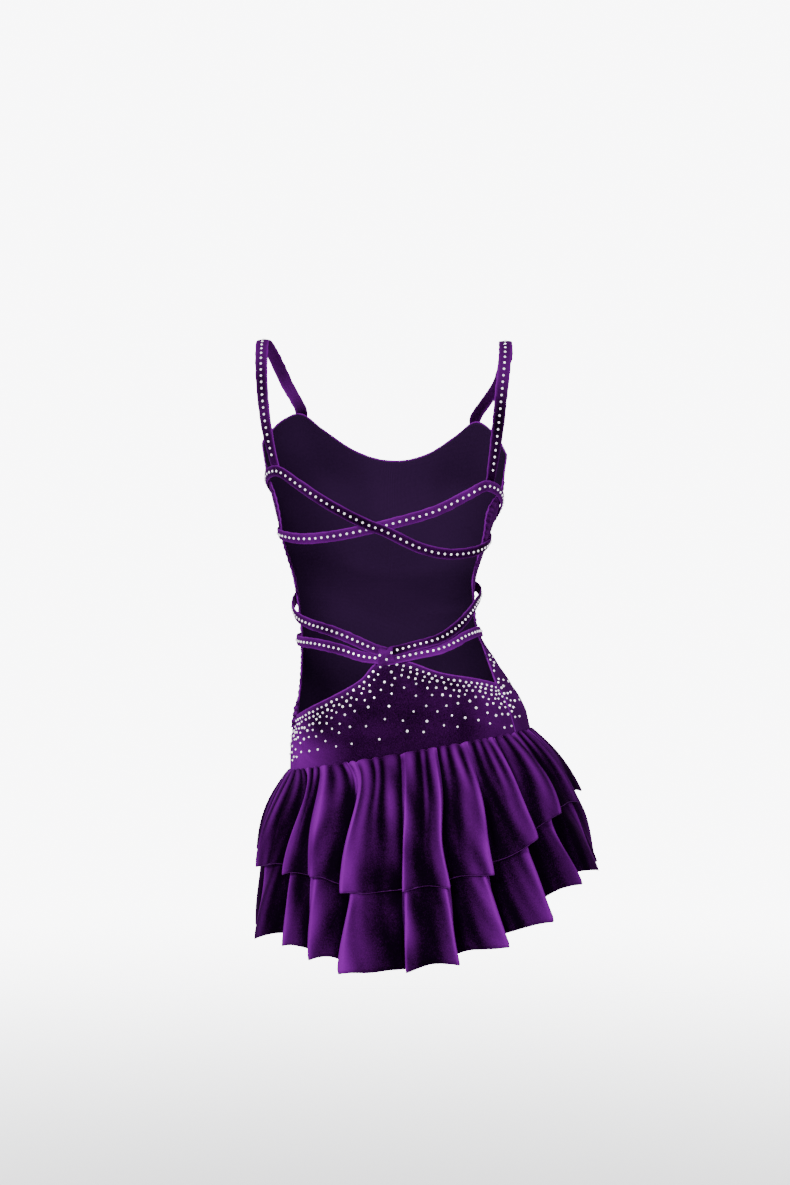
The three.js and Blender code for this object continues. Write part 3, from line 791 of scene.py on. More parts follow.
def panel_place(down, across):
    """Angle and height between the side edges, the neckline and the hip seam, by passes."""
    height = mix(-152.0, SEAM_HEIGHT, down) + 0 * across
    for _ in range(PLACING_PASSES):
        right = edge_of_panel("right", height)
        left = 360 - edge_of_panel("left", height)
        angle = mix(right, left, across)
        top = read_table(NECKLINE, "from_front", "height", np.abs(wrap_angle(angle - 180)))
        height = mix(top, SEAM_HEIGHT, down)
    return angle, height


def yoke_place(down, across):
    """Angle and height between the side edges, the peaked edge and the hip seam, by passes."""
    height = SEAM_HEIGHT + 0 * (down + across)
    for _ in range(PLACING_PASSES):
        right = edge_of_panel("right", height) - PANEL_MARGIN
        left = PANEL_MARGIN - edge_of_panel("left", height)
        angle = mix(left, right, across)
        height = mix(yoke_top(angle), SEAM_HEIGHT, down)
    return angle, height


def yoke_rise(angle, height):
    """The yoke's creases and its soft unevenness."""
    uneven = 0.2 * soft_noise(21, angle * 2, height, 60)
    return crease_rise(YOKE_CREASES, angle, height) + uneven


def fractions(rows, columns):
    """Row and column fractions of a grid."""
    return np.linspace(0, 1, rows + 1)[:, None], np.linspace(0, 1, columns + 1)[None, :]


def front_panel():
    """The panel's place on the figure, with creases, and puckers along its elastic edges."""
    angle, height = panel_place(*fractions(120, 190))
    right = edge_of_panel("right", height)
    left = 360 - edge_of_panel("left", height)
    inside = np.minimum(angle - right, left - angle) * MM_PER_DEGREE
    pull = smoothstep(-300, -270, height) * (1 - smoothstep(-165, -150, height))
    beat = height * math.tau / PUCKER_PITCH + 0.6 * np.sin(height / 13)
    pucker = PUCKER_RISE * np.sin(beat) * np.exp(-inside / PUCKER_REACH) * pull
    rise = crease_rise(PANEL_CREASES, angle, height) + 0.12 * soft_noise(11, angle * 2, height, 70)
    points = on_figure(angle, height, CLOTH + pucker + rise)
    # Painted light: brighter on crease ridges and darker in their troughs, with painted sheen near
    # the elastic edges; the soft noise is a random tone
    painted_light_and_tone = 0.34 + 0.2 * rise + 0.12 * np.exp(-inside / 10)
    painted_light_and_tone = painted_light_and_tone + 0.03 * soft_noise(12, angle * 2, height, 60)
    uv = (angle * CLOTH_UV, height)
    velvets = (PANEL_VELVET, BACKING)
    return cloth_sheet("front_panel_cloth", points, velvets, uv, painted_light_and_tone, PANEL_WALL), points


def hip_yoke():
    """The yoke's place on the figure, with its creases, and painted light: painted shade leaves it
    darkest in the middle of the back, with painted sheen on both hips.
    """
    angle, height = yoke_place(*fractions(64, 190))
    rise = yoke_rise(angle, height)
    points = on_figure(angle, height, CLOTH + rise)
    low = smoothstep(-474, -516, height)
    painted_left_hip_sheen = smoothstep(mix(38, 12, low), 68, -angle) * mix(0.5, 1.0, low)
    painted_right_hip_sheen = smoothstep(30, 66, angle)
    # Painted highlight in a band just under the peaked edge, and painted light on the creases
    top = 0.24 * np.exp(-(((yoke_top(angle) - height) / 6.5) ** 2))
    painted_light_and_tone = 0.11 + 1.05 * painted_left_hip_sheen + 0.3 * painted_right_hip_sheen + 0.13 * rise + top
    uv = (angle * CLOTH_UV, height)
    velvets = (PANEL_VELVET, BACKING)
    return cloth_sheet("hip_yoke_cloth", points, velvets, uv, painted_light_and_tone, PANEL_WALL), points


def edge_roll(name, path, outs, radius, material):
    """A thin rolled edge: a six-sided tube along a cloth's edge, uneven by a tenth."""
    length = length_along(path)
    uneven = radius * (1 + 0.1 * soft_noise(31, length, 0 * length, 14))
    points = tube(path, uneven, 6, outs)
    round_ = np.linspace(0, 6, 6)[None, :] + 0 * length[:, None]
    uv = np.stack([length[:, None] + 0 * round_, round_], -1)
    # Painted highlight along the velvet rolls; the thread material does not read it
    painted_light_and_tone = np.full(points.shape[:-1], 0.95)
    return make_piece(name, points, capped_faces(len(path), 6), (material,), uv, painted_light_and_tone)


# The section of a side binding, from the panel's face round its edge to its reverse: how
# far in from the edge and how far out of the figure.
BINDING_HOOK = (
    (17.0, 2.1), (14.0, 2.6), (8.0, 2.9), (1.5, 2.8), (-0.6, 2.2), (-1.0, 1.3), (-0.6, 0.3),
    (2.0, -0.5), (6.0, -0.6),
)


def side_binding(name, side, column, tab):
    """Shirred velvet over the panel's elastic side edge: a flat hook of cloth that lies on
    the panel, rounds its edge and turns in under it, with close uneven puckers. A tab of 1
    ends it in a fuller tuck at the yoke's corner."""
    height = np.linspace(BINDING_TOP, BINDING_FOOT - TAB_DROP * tab, 340)[:, None]
    end = tab * smoothstep(-446, -458, height)
    hook = smooth_path(BINDING_HOOK, np.linspace(0, 1, 30))
    inward = hook[None, :, 0] + 0 * height
    wide = mix(0.35, 1.0, smoothstep(-345, -310, height))
    inward = np.where(inward > 0, inward * mix(wide, 0.7, end), inward * (1 + 3.5 * end))
    beat = height * math.tau / BINDING_PITCH + 1.3 * np.sin(height / 11)
    beat = beat + 0.7 * np.sin(height / 4.3) + 0.1 * inward
    loose = smoothstep(17.0, 11.0, inward)
    pucker = PUCKER_RISE * np.sin(beat) * loose
    wave = 0.6 * soft_noise(62, height, 0 * inward, 18) * loose
    angle = side * (edge_of_panel(column, height) + (inward + wave) / MM_PER_DEGREE)
    distance = hook[None, :, 1] * (1 + 0.9 * end) + pucker * (1 + 0.4 * end)
    points = on_figure(angle, height + 0 * inward, distance)
    # Painted light: brighter on the puckers' tops and darker between them, more so at the tab; the
    # soft noise is a random tone
    painted_light_and_tone = 0.32 + 0.1 * end + (0.13 + 0.12 * end) * np.sin(beat)
    painted_light_and_tone = painted_light_and_tone + 0.1 * soft_noise(61, height, 2 * inward, 20)
    velvets = (STRAP_VELVET, STRAP_VELVET)
    uv = (inward, height)
    return cloth_sheet(name, points, velvets, uv, painted_light_and_tone, BINDING_WALL, flipped=side > 0)


# The loop over the peak: the angle of its middle, its top, its foot and half its width.
LOOP_ANGLE = 3.0
LOOP_TOP = -397.0
LOOP_FOOT = -420.5
LOOP_HALF = 9.5


def loop_out(aside, down):
    """How far the waist loop stands out of the figure: a pillow over the straps' ends, with
    a shallow crease down its middle and soft folds that run in from its sides."""
    dome = (1 - aside**6) * (1 - (2 * down - 1) ** 6)
    crease = 0.7 * np.exp(-(((aside - 0.15) / 0.18) ** 2))
    folds = np.sin(6.5 * down + 2.6 * np.abs(aside) * (down - 0.4) + 0.8 * np.sin(2.5 * aside))
    return 2.6 + (7.6 + 0.4 * folds - crease) * dome, folds, dome


def waist_loop():
    """The loop that gathers the four waist straps at the peak, notched at its top."""
    down, across = fractions(40, 40)
    aside = 2 * across - 1 + 0 * down
    notch = 3.5 * np.exp(-((aside / 0.35) ** 2))
    height = mix(LOOP_TOP - notch, LOOP_FOOT, down)
    waist = 0.82 + 0.18 * (2 * down - 1) ** 2
    turned = LOOP_ANGLE + aside * LOOP_HALF * waist / MM_PER_DEGREE
    distance, folds, dome = loop_out(aside, down)
    points = on_figure(turned, height, distance)
    # Painted light: brighter on the soft folds, and painted sheen towards the loop's rounded sides
    painted_light_and_tone = 0.42 + 0.1 * folds + 0.15 * (1 - dome)
    uv = (turned * MM_PER_DEGREE, height)
    return cloth_sheet("waist_loop", points, (STRAP_VELVET, BACKING), uv, painted_light_and_tone, LOOP_WALL)


# ---- Straps ----


def figure_strap_lay(route):
    """Where a strap lies: its width becomes steps of angle and height, so that it follows
    the figure, at its STRAP_LIFT and its layer."""
    points = np.stack([route["angle"] * MM_PER_DEGREE, route["height"], route["layer"]], -1)

    def lay(t, edge, raised):
        """Points at fractions, from edge to edge and raised, with the ways out and along."""
        step = 0.002
        here = smooth_path(points, t)
        run = smooth_path(points, t + step) - smooth_path(points, t - step)
        turned = here[:, 0] / MM_PER_DEGREE
        _, round_, up, out = figure_frame(turned, here[:, 1])
        along = unit(round_ * run[:, :1] / MM_PER_DEGREE + up * run[:, 1:2])
        sideways = unit(np.cross(out, along))
        rr = (round_ * round_).sum(-1)
        ru = (round_ * up).sum(-1)
        uu = (up * up).sum(-1)
        sr = (sideways * round_).sum(-1)
        su = (sideways * up).sum(-1)
        scale = 0.5 * STRAP_WIDTH / (rr * uu - ru * ru)
        turn_step = ((sr * uu - su * ru) * scale)[:, None]
        rise_step = ((su * rr - sr * ru) * scale)[:, None]
        off = (STRAP_LIFT + STRAP_LAYER * here[:, 2])[:, None]
        angle = turned[:, None] + edge * turn_step
        return on_figure(angle, here[:, 1:2] + edge * rise_step, off + raised), out, along

    return lay


def row_on_figure(angle, height, distance):
    """A row of a shoulder strap's way at a place on the figure, flat on the figure there."""
    _, round_, _, _ = figure_frame(np.float64(angle), np.float64(height))
    lean = math.degrees(math.atan(round_[1] / round_[0]))
    return *on_figure(np.float64(angle), np.float64(height), distance), lean


def shoulder_strap_lay(start, corner, way):
    """Where a shoulder strap lies: a curve from under the cross strap, over the shoulder, to
    the outside of the panel's corner; lean turns its width round Z."""
    top = read_table(NECKLINE, "from_front", "height", STRAP_CORNER)
    rows = np.array(
        [
            row_on_figure(start[0], start[1] - 14, 0.7),  # under the cross strap
            row_on_figure(*start, 2.4),
            *zip(*way.values()),
            row_on_figure(corner, top + 4, 2.7),
            row_on_figure(corner, top - 9, 2.6),  # sewn to the panel's outside
        ]
    )

    def lay(t, edge, raised):
        """Points at fractions, from edge to edge and raised, with the ways out and along."""
        step = 0.0005
        here = smooth_path(rows[:, :3], t)
        along = unit(smooth_path(rows[:, :3], t + step) - smooth_path(rows[:, :3], t - step))
        lean = np.radians(smooth_path(rows[:, 3:], t)[:, 0])
        level = np.stack([np.cos(lean), np.sin(lean), 0 * lean], -1)
        sideways = unit(level - along * (level * along).sum(-1, keepdims=True))
        out = unit(np.cross(sideways, along))
        shift = -edge[..., None] * SHOULDER_WIDTH / 2 * sideways[:, None]
        return here[:, None] + shift + raised[..., None] * out[:, None], out, along

    return lay


def even_steps(lay, spacing):
    """Fractions along a strap that are a spacing apart in length, and the strap's length."""
    t = np.linspace(0, 1, 400)
    zero = np.zeros((t.size, 1))
    length = length_along(lay(t, zero, zero)[0][:, 0])
    count = max(int(round(length[-1] / spacing)), 1)
    return np.interp(np.linspace(0, length[-1], count + 1), length, t), length[-1]


STRAP_SIDES = 20
STRAP_STEP = 1.9  # from one ring of a strap to the next
STRAP_CROWN = 0.35  # how much thicker a strap is along its middle
STRAP_EDGE_POWER = 0.62  # below 1, a strap's section is fuller at its edges
STRAP_FACE_POWER = 0.8
CROWN_RISE = (-125.0, -20.0)  # where straps get more painted light, up to the shoulders' tops
TOP_PAINTED_LIGHT = 0.22
EDGE_PAINTED_SHEEN = 0.85
# The painted light of each strap along its middle: how much painted shade or highlight it has.
STRAP_PAINTED_LIGHT = {
    "shoulder_strap_left": 0.13,
    "shoulder_strap_right": 0.1,
    "cross_strap_over": 0.14,
    "cross_strap_under": 0.38,
    "waist_strap_left_upper": 0.22,
    "waist_strap_left_lower": 0.4,
    "waist_strap_right_upper": 0.12,
    "waist_strap_right_lower": 0.42,
}


def strap(name, lay, seed):
    """A sewn velvet tube, pressed flat: a rounded flat section carried along its way, with
    soft puckers along both edges. Painted sheen makes the edges brighter than the middle."""
    t, length = even_steps(lay, STRAP_STEP)
    turn = turns_round(STRAP_SIDES)
    edge = signed_power(np.cos(turn), STRAP_EDGE_POWER)[None, :]
    high = signed_power(np.sin(turn), STRAP_FACE_POWER)[None, :]
    along = (t * length)[:, None]
    pucker = 0.03 * soft_noise(seed, along, 40 * edge, 11)
    full = 0.5 * STRAP_THICKNESS + STRAP_CROWN * (1 - edge**2) + 0 * along
    uneven = 0.12 * soft_noise(seed + 1, along, 30 * edge, 24)
    raised = 0.5 * STRAP_THICKNESS + high * full + uneven
    points, _, _ = lay(t, edge * (1 + pucker), raised)
    drift = 0.1 * soft_noise(seed + 2, along, 0 * edge, 60)
    # Painted light brighter towards the straps' tops and painted sheen on their edges; the drift
    # is a random tone
    crown = TOP_PAINTED_LIGHT * smoothstep(*CROWN_RISE, points[..., 2])
    painted_light_and_tone = np.clip(STRAP_PAINTED_LIGHT[name] + crown + EDGE_PAINTED_SHEEN * np.abs(edge) ** 7 + drift, 0, 1)
    uv = np.stack([along + 0 * edge, turn[None, :] * 3 + 0 * along], -1)
    faces = capped_faces(len(t), STRAP_SIDES)
    return make_piece(name + "_cloth", points, faces, (STRAP_VELVET,), uv, painted_light_and_tone)


# ---- Tiers ----

LAP_EDGE = 0.82  # the fraction across a flute where its ridge turns back under
LINE_BAND = 0.045  # how far in from its ridge a flute has its thin painted highlight line
CREST_BAND = 0.12  # how far in from its ridge a flute's painted highlight is brightest, as a fraction
RISE_POWER = 1.6  # above 1, a flute's face rounds off towards its ridge
LEAN_POWER = 2.2  # above 1, a flute leans over most at its ridge
HEM_POWER = 2.4  # above 1, a hem dips most at the ridge of a flute
LAP_POWER = 1.15
# Painted light on a flute's face, and painted highlights on its crest, on its thin line and on the
# gathers' puffs
FACE_PAINTED_LIGHT, CREST_PAINTED_HIGHLIGHT, LINE_PAINTED_HIGHLIGHT, PUFF_PAINTED_HIGHLIGHT = 0.47, 0.17, 0.4, 0.62
FOLDED_PAINTED_SHADE = 0.92  # how much painted shade darkens the pile where it is folded under
TIER_UV = 3.6  # mm of cloth to a degree, for the pile
TIER_WALL = 1.4
LAP_CLEAR = 8  # how far below the upper tier's hem the lower one starts to lap
GATHERS = 66  # small gathers round the seam, where the upper tier is sewn in


def gather_table():
    """Uneven widths, strengths and reaches of the small gathers, seeded."""
    random = np.random.default_rng(41)
    widths = random.uniform(0.55, 1.45, GATHERS)
    ends = np.cumsum(widths) / widths.sum() * 360 - 180
    starts = np.concatenate([[-180], ends[:-1]])
    strength = random.uniform(2.2, 6.0, GATHERS)
    reach = 13 + 95 * random.uniform(0, 1, GATHERS) ** 2.2
    return starts, ends, strength, reach


GATHER_PARTS = gather_table()


def gather_rise(angle, drop):
    """Rounded puffs side by side: a power of a half sine across each gather, which swells
    just below the seam and runs out further down."""
    starts, ends, strength, reach = GATHER_PARTS
    place = wrap_angle(angle)
    index = np.clip(np.searchsorted(starts, place, side="right") - 1, 0, GATHERS - 1)
    across = np.clip((place - starts[index]) / (ends - starts)[index], 0, 1)
    swell = (1 - np.exp(-drop / 3.5)) * np.exp(-drop / reach[index])
    puff = np.sin(np.pi * across) ** 0.75
    return strength[index] * (puff - 0.35) * swell, puff, swell


def flute_at(angle):
    """The flute that an angle lies in, its width in degrees and the fraction across it."""
    place = wrap_angle(angle)
    starts = FOLDS["angle"]
    index = np.searchsorted(starts, place, side="right") - 1
    index = np.where(index < 0, starts.size - 1, index)
    following = (index + 1) % starts.size
    width = (starts[following] - starts[index]) % 360
    return index, following, width, ((place - starts[index]) % 360) / width


def flute_parts(angle):
    """A flute's row of the table, its width in degrees, the fraction of the way towards its
    ridge and on, and the valleys before and behind that ridge."""
    index, following, width, fraction = flute_at(angle)
    fold = {name: column[index] for name, column in FOLDS.items()}
    leftward = fold["way"] < 0
    next_valley = FOLDS["valley"][following]
    first = np.where(leftward, next_valley, fold["valley"])
    last = np.where(leftward, fold["valley"], next_valley)
    return fold, width, np.where(leftward, 1 - fraction, fraction), first, last


def tier_frame(angle):
    """Points of the seam, the way the tiers hang, and the ways out and aside from it."""
    point, _, _, out = figure_frame(angle, SEAM_HEIGHT + 0 * angle)
    hang = math.radians(HANG_TILT)
    down = np.array([math.sin(hang), 0, -math.cos(hang)])
    outward = unit(out - down * (out @ down)[..., None])
    return point, down, outward, np.cross(outward, down)


def tier_sweep(angle, drop):
    """How far the flutes run aside: first just below the seam, and again at their hems."""
    swept = (1 - np.exp(-drop / SWEEP_START)) * (1 - smoothstep(*SWEEP_END, drop))
    sweep = swept * read_table(SWEEP, "angle", "aside", angle)
    return sweep + smoothstep(*SWEEP_LOW, drop) * read_table(SWEEP, "angle", "low", angle)


def tier_painted_light(tier, angle, drop, fold, face, growth, puff, swell):
    """Painted light on the pile: painted shade in each flute's valley brightening to a painted
    highlight towards its ridge, with a thin painted highlight line on it, and painted highlights
    on the small gathers' puffs; streaks and patches vary it at random."""
    streak = ring_noise(46, angle, 3.4, 0.2 * drop, 17)
    patch = ring_noise(47, angle, 3.4, 0.9 * drop, 70)
    crest = np.exp(-(((1 - face) / CREST_BAND) ** 2))
    line = np.exp(-(((1 - face) / LINE_BAND) ** 2))
    ramp = face ** (3.5 - fold["glow"])
    keen = mix(1, np.clip(2 * fold[tier["over"]], 0, 1), smoothstep(45, 95, drop))
    light = (0.015 + FACE_PAINTED_LIGHT * ramp + CREST_PAINTED_HIGHLIGHT * crest) * (1 + 0.3 * streak + 0.1 * patch)
    light = (light + LINE_PAINTED_HIGHLIGHT * line * keen) * fold["glow"] + 0.03 * streak
    high = (PUFF_PAINTED_HIGHLIGHT * puff**3.5) * (0.7 + 0.3 * fold["glow"]) * (1 + 0.3 * streak)
    small = np.clip(1.15 * swell * tier["gather"], 0, 1)
    return mix(light * mix(0.75, 1.0, growth), high, small * 0.85)


def tier_point(tier, angle, fall):
    """The seam's ring moved down, out along a flare that bends over, and in and out through
    its flutes. A flute's face rises from one valley to a ridge, which laps over the next
    valley and turns back under. The lower tier only laps below the hem of the upper one."""
    point, down, outward, sideways = tier_frame(angle)
    fold, width, towards, first, last = flute_parts(angle)
    place = wrap_angle(angle)
    total = read_table(tier["drops"], "angle", "drop", place)
    drop = fall * total
    covered_to = LAP_CLEAR + read_table(UPPER_TIER["drops"], "angle", "drop", place)
    lap_from = tier["covered"] * covered_to
    lap_full = mix(lap_from, total, 0.94)

    rising = towards < LAP_EDGE
    face = np.clip(towards / LAP_EDGE, 0, 1)
    turn = np.clip((towards - LAP_EDGE) / (1 - LAP_EDGE), 0, 1)
    under = 0.5 + 0.5 * np.cos(np.pi * turn)
    rise = 1 - (1 - face) ** RISE_POWER
    lapped = np.clip((drop - lap_from) / (lap_full - lap_from), 0, 1) ** LAP_POWER
    lapped = lapped * fold[tier["over"]]
    fullness = mix(tier["fullness"], 1.0, smoothstep(lap_from, lap_from + 40, drop))
    ridge = fold["ridge"] - first
    behind = mix(last, first + ridge * fullness, under)
    profile = np.where(rising, first + ridge * rise * fullness, behind)

    spread = tier["flare"] * (1 - np.exp(-drop / tier["bend"]))
    depth = mix(fold["high"], fold["low"], smoothstep(*FOLD_CHANGE, drop))
    growth = np.minimum(1, drop / FOLD_FULL) ** 0.8
    swing = FOLD_REACH * depth * growth * profile
    ripple = 2.0 * growth * ring_noise(45, angle, 3, 0.35 * drop, 36)
    gather, puff, swell = gather_rise(angle, drop)
    out = tier["start"] + spread + swing + ripple + gather * tier["gather"]

    lean = np.where(rising, face**LEAN_POWER, under)
    wide = width * (2.42 + 0.0175 * spread)
    wander = 3.0 * growth * ring_noise(43, angle, 3, 0.6 * drop, 90)
    aside = fold["way"] * tier["lap"] * wide * lapped * lean + wander + tier_sweep(place, drop)

    hem = np.where(rising, face**HEM_POWER, under)
    uneven = 1.2 * fall**3 * ring_noise(44, angle, 3, 0 * drop, 40)
    dip = HEM_DIP * fold[tier["hem"]] * hem * fall**2 + uneven
    puffed = tier["gather"] * np.exp(-drop / 5.0) * puff
    below = SEAM_GAP + CLOTH / 2 + drop + dip - 3.0 * puffed
    points = point + outward * (out + 0.9 * puffed)[..., None]
    points = points + sideways * aside[..., None] + down * below[..., None]

    # Painted shade where the cloth folds under its ridge, and painted highlight on the puffs just
    # below the seam
    folded = np.where(rising, 0, 1 - under) * np.clip(lapped * 2, 0, 1)
    painted_light_and_tone = tier_painted_light(tier, angle, drop, fold, face, growth, puff, swell)
    return points, painted_light_and_tone * (1 - FOLDED_PAINTED_SHADE * folded) + 0.22 * puffed * puff**2, drop


def tier_half(name, tier, start, end, rows, per_fold):
    """Half a tier between two side seams, with columns closest where its ridges turn."""
    starts = np.where(FOLDS["angle"] < start, FOLDS["angle"] + 360, FOLDS["angle"])
    valleys = np.sort(starts[(starts > start) & (starts < end)])
    stops = np.array([start, *valleys, end])
    index = flute_at((stops[:-1] + stops[1:]) / 2)[0]
    leftward = (FOLDS["way"][index] < 0)[:, None]
    crowded = 1 - (1 - np.linspace(0, 1, per_fold + 1)) ** 1.4
    part = np.where(leftward, 1 - crowded[::-1], crowded)
    inner = stops[:-1, None] + np.diff(stops)[:, None] * part[:, :-1]
    angle = np.append(inner.ravel(), stops[-1])[None, :]
    fall = (np.linspace(0, 1, rows + 1) ** 1.25)[:, None]
    points, painted_light_and_tone, drop = tier_point(tier, angle + 0 * fall, fall + 0 * angle)
    uv = (angle * TIER_UV, -drop)
    return cloth_sheet(name, points, (TIER_VELVET, BACKING), uv, painted_light_and_tone, TIER_WALL, 0), points


# ---- Stones and stitches ----

STONE_SIDES = 8
# The rings of a stone, each with its radius and height in stone radii and its turn.
STONE_RINGS = ((1.0, -0.2, 0), (1.0, 0.16, 0), (0.56, 0.66, math.pi / STONE_SIDES))
STONE_NOD = 0.05  # how unevenly stones are set, in radians
YOKE_RADII = (1.2, 1.4, 1.65)
YOKE_SHARES = (0.3, 0.45, 0.25)
# Rows of stones under the yoke's edge: how far below it, their spacing and unevenness.
YOKE_ROWS = ((6.6, 7.5, 0.3), (12.4, 7.8, 0.8), (18.0, 8.4, 1.4))
YOKE_HALF = 67  # degrees of the yoke that carry stones, to each side
# Of the scattered stones, each at the middle and at the hips: their gap under the edge, how
# much wider it gets, how far below the edge it does, and how far they keep from the seam.
GAP_NEAR = (5.8, 4.9)
GAP_WIDER = (7.5, 8.0)
GAP_DEPTH = (60, 84)
SEAM_CLEAR = (22.0, 8.0)
YOKE_TRIES, PANEL_TRIES = 9000, 700
STITCHES = 9  # in each tack
STITCH_SIDES = 6
STITCH_SWELL = np.array([0.15, 0.9, 1.0, 0.9, 0.15])
STITCH_HALF = 1.6
STITCH_RADIUS = 0.42
STITCH_SINK = 0.3  # how far a stitch's ends sink into the cloth
TACK_WIDTH = 9.0


def stone_faces():
    """The faces of one stone: its wall, the two kinds of its crown, its table and its foot."""
    foot, girdle, top = (np.arange(STONE_SIDES) + k * STONE_SIDES for k in range(3))
    next_foot, next_girdle, next_top = (np.roll(ring, -1) for ring in (foot, girdle, top))
    wall = np.stack([foot, next_foot, next_girdle, girdle], -1)
    upward = np.stack([girdle, next_girdle, top], -1)
    downward = np.stack([next_girdle, next_top, top], -1)
    return [list(f) for band in (wall, upward, downward) for f in band] + [
        list(top),
        list(foot[::-1]),
    ]


def repeated(faces, count, step):
    """The faces of one body, said again for each of a count of bodies."""
    return [[v + k * step for v in face] for k in range(count) for face in faces]


def stones(name, centres, outs, alongs, radii, seed):
    """Cut flat-back stones as one mesh: a ring at the foot, one at the girdle and a smaller
    one round the flat table, half a step on, so that the crown is facets."""
    corners = [(r, a + s, z) for r, z, s in STONE_RINGS for a in turns_round(STONE_SIDES)]
    local = np.array([[r * math.cos(a), r * math.sin(a), z] for r, a, z in corners])
    random = np.random.default_rng(seed)
    spin = random.uniform(0, math.tau, len(centres))[:, None]
    x = local[None, :, 0] * np.cos(spin) - local[None, :, 1] * np.sin(spin)
    y = local[None, :, 0] * np.sin(spin) + local[None, :, 1] * np.cos(spin)
    out = unit(outs + random.normal(0, STONE_NOD, (len(centres), 3)))
    ahead = unit(alongs - out * (alongs * out).sum(-1, keepdims=True))
    aside = np.cross(out, ahead)
    flat = x[..., None] * ahead[:, None] + y[..., None] * aside[:, None]
    points = centres[:, None] + radii[:, None, None] * (flat + local[None, :, 2:] * out[:, None])
    tone = random.uniform(0.2, 1.0, (len(centres), 1)) + np.zeros((1, len(local)))
    faces = repeated(stone_faces(), len(centres), len(local))
    return make_piece(name, points, faces, (STONE,), None, tone, smooth=False)


def strap_stone_places(lay, spacing, start, end):
    """Places along a strap's middle, a stone's spacing apart, clear of both its ends."""
    t, length = even_steps(lay, spacing)
    distance = np.linspace(0, length, len(t))
    t = t[(distance > start) & (distance < length - end)]
    zero = np.zeros((len(t), 1))
    places, out, along = lay(t, zero, zero + STRAP_THICKNESS + STRAP_CROWN + STONE_SEAT)
    return places[:, 0], out, along


def loop_stone_places():
    """Places of the stones on the waist loop."""
    aside, down = LOOP_STONES["aside"], LOOP_STONES["down"]
    turned = LOOP_ANGLE + aside * 0.85 * LOOP_HALF / MM_PER_DEGREE
    point, round_, _, out = figure_frame(turned, mix(LOOP_TOP, LOOP_FOOT, down))
    distance = loop_out(aside, down)[0] + STONE_SEAT
    return point + out * distance[:, None], out, unit(round_)


def thin_out(angle, height, gap, kept):
    """Keeps each place, in turn, that is at least its gap from those already kept."""
    for a, h, g in zip(angle, height, gap):
        near = (math.hypot((a - b) * MM_PER_DEGREE, h - k) < g for b, k in kept if abs(h - k) < g)
        if not any(near):
            kept.append((a, h))
    return kept


def yoke_stone_places():
    """Close rows under the peaked edge, then a scatter that is dense near the edge and at the
    hips and thins towards the seam."""
    random = np.random.default_rng(7)
    row = np.linspace(-YOKE_HALF, YOKE_HALF, 400)
    length = length_along(np.stack([row * MM_PER_DEGREE, yoke_top(row)], -1))
    kept = []
    for below, spacing, jitter in YOKE_ROWS:
        marks = np.interp(np.arange(spacing * 0.5, length[-1], spacing), length, row)
        marks = marks + random.normal(0, jitter * 0.4, marks.size)
        heights = yoke_top(marks) - below + random.normal(0, jitter, marks.size)
        kept = thin_out(marks, heights, np.full(marks.size, 5.0), kept)
    angle = random.uniform(-YOKE_HALF, YOKE_HALF, YOKE_TRIES)
    depth = random.uniform(9, 96, YOKE_TRIES)
    height = yoke_top(angle) - depth
    hips = smoothstep(38, 66, np.abs(angle))
    thinned = smoothstep(12, mix(*GAP_DEPTH, hips), depth)
    gap = mix(*GAP_NEAR, hips) + mix(*GAP_WIDER, hips) * thinned
    inside = height > SEAM_HEIGHT + mix(*SEAM_CLEAR, hips)
    return np.array(thin_out(angle[inside], height[inside], gap[inside], kept))


def panel_stone_places():
    """Strips of stones on the front panel beside its edges at both hips."""
    random = np.random.default_rng(8)
    height = random.uniform(-512, -420, PANEL_TRIES)
    inward = np.abs(random.normal(0, 5.5, PANEL_TRIES)) + 1.6
    side = np.where(random.uniform(0, 1, PANEL_TRIES) < 0.5, -1, 1)
    angle = side * (edge_of_panel("right", height) + inward)
    return np.array(thin_out(angle, height, 5.4 + 0.5 * inward, []))


def stones_on_figure(name, places, distance, seed):
    """Stones at angles and heights, on the cloth of the figure."""
    point, round_, _, out = figure_frame(*places.T)
    radii = np.random.default_rng(seed).choice(YOKE_RADII, len(places), p=YOKE_SHARES)
    centres = point + out * np.reshape(distance, (-1, 1))
    return stones(name, centres, out, unit(round_), radii, seed)


def tack_places(name, lay):
    """A tack near each end of a strap, but none under the waist loop."""
    zero = np.zeros((2, 1))
    places, outs, alongs = lay(np.array([0.02, 0.98]), zero, zero + STRAP_THICKNESS + 0.3)
    sewn = [not name.startswith("waist_strap_" + side) for side in ("right", "left")]
    return places[sewn, 0], outs[sewn], alongs[sewn]


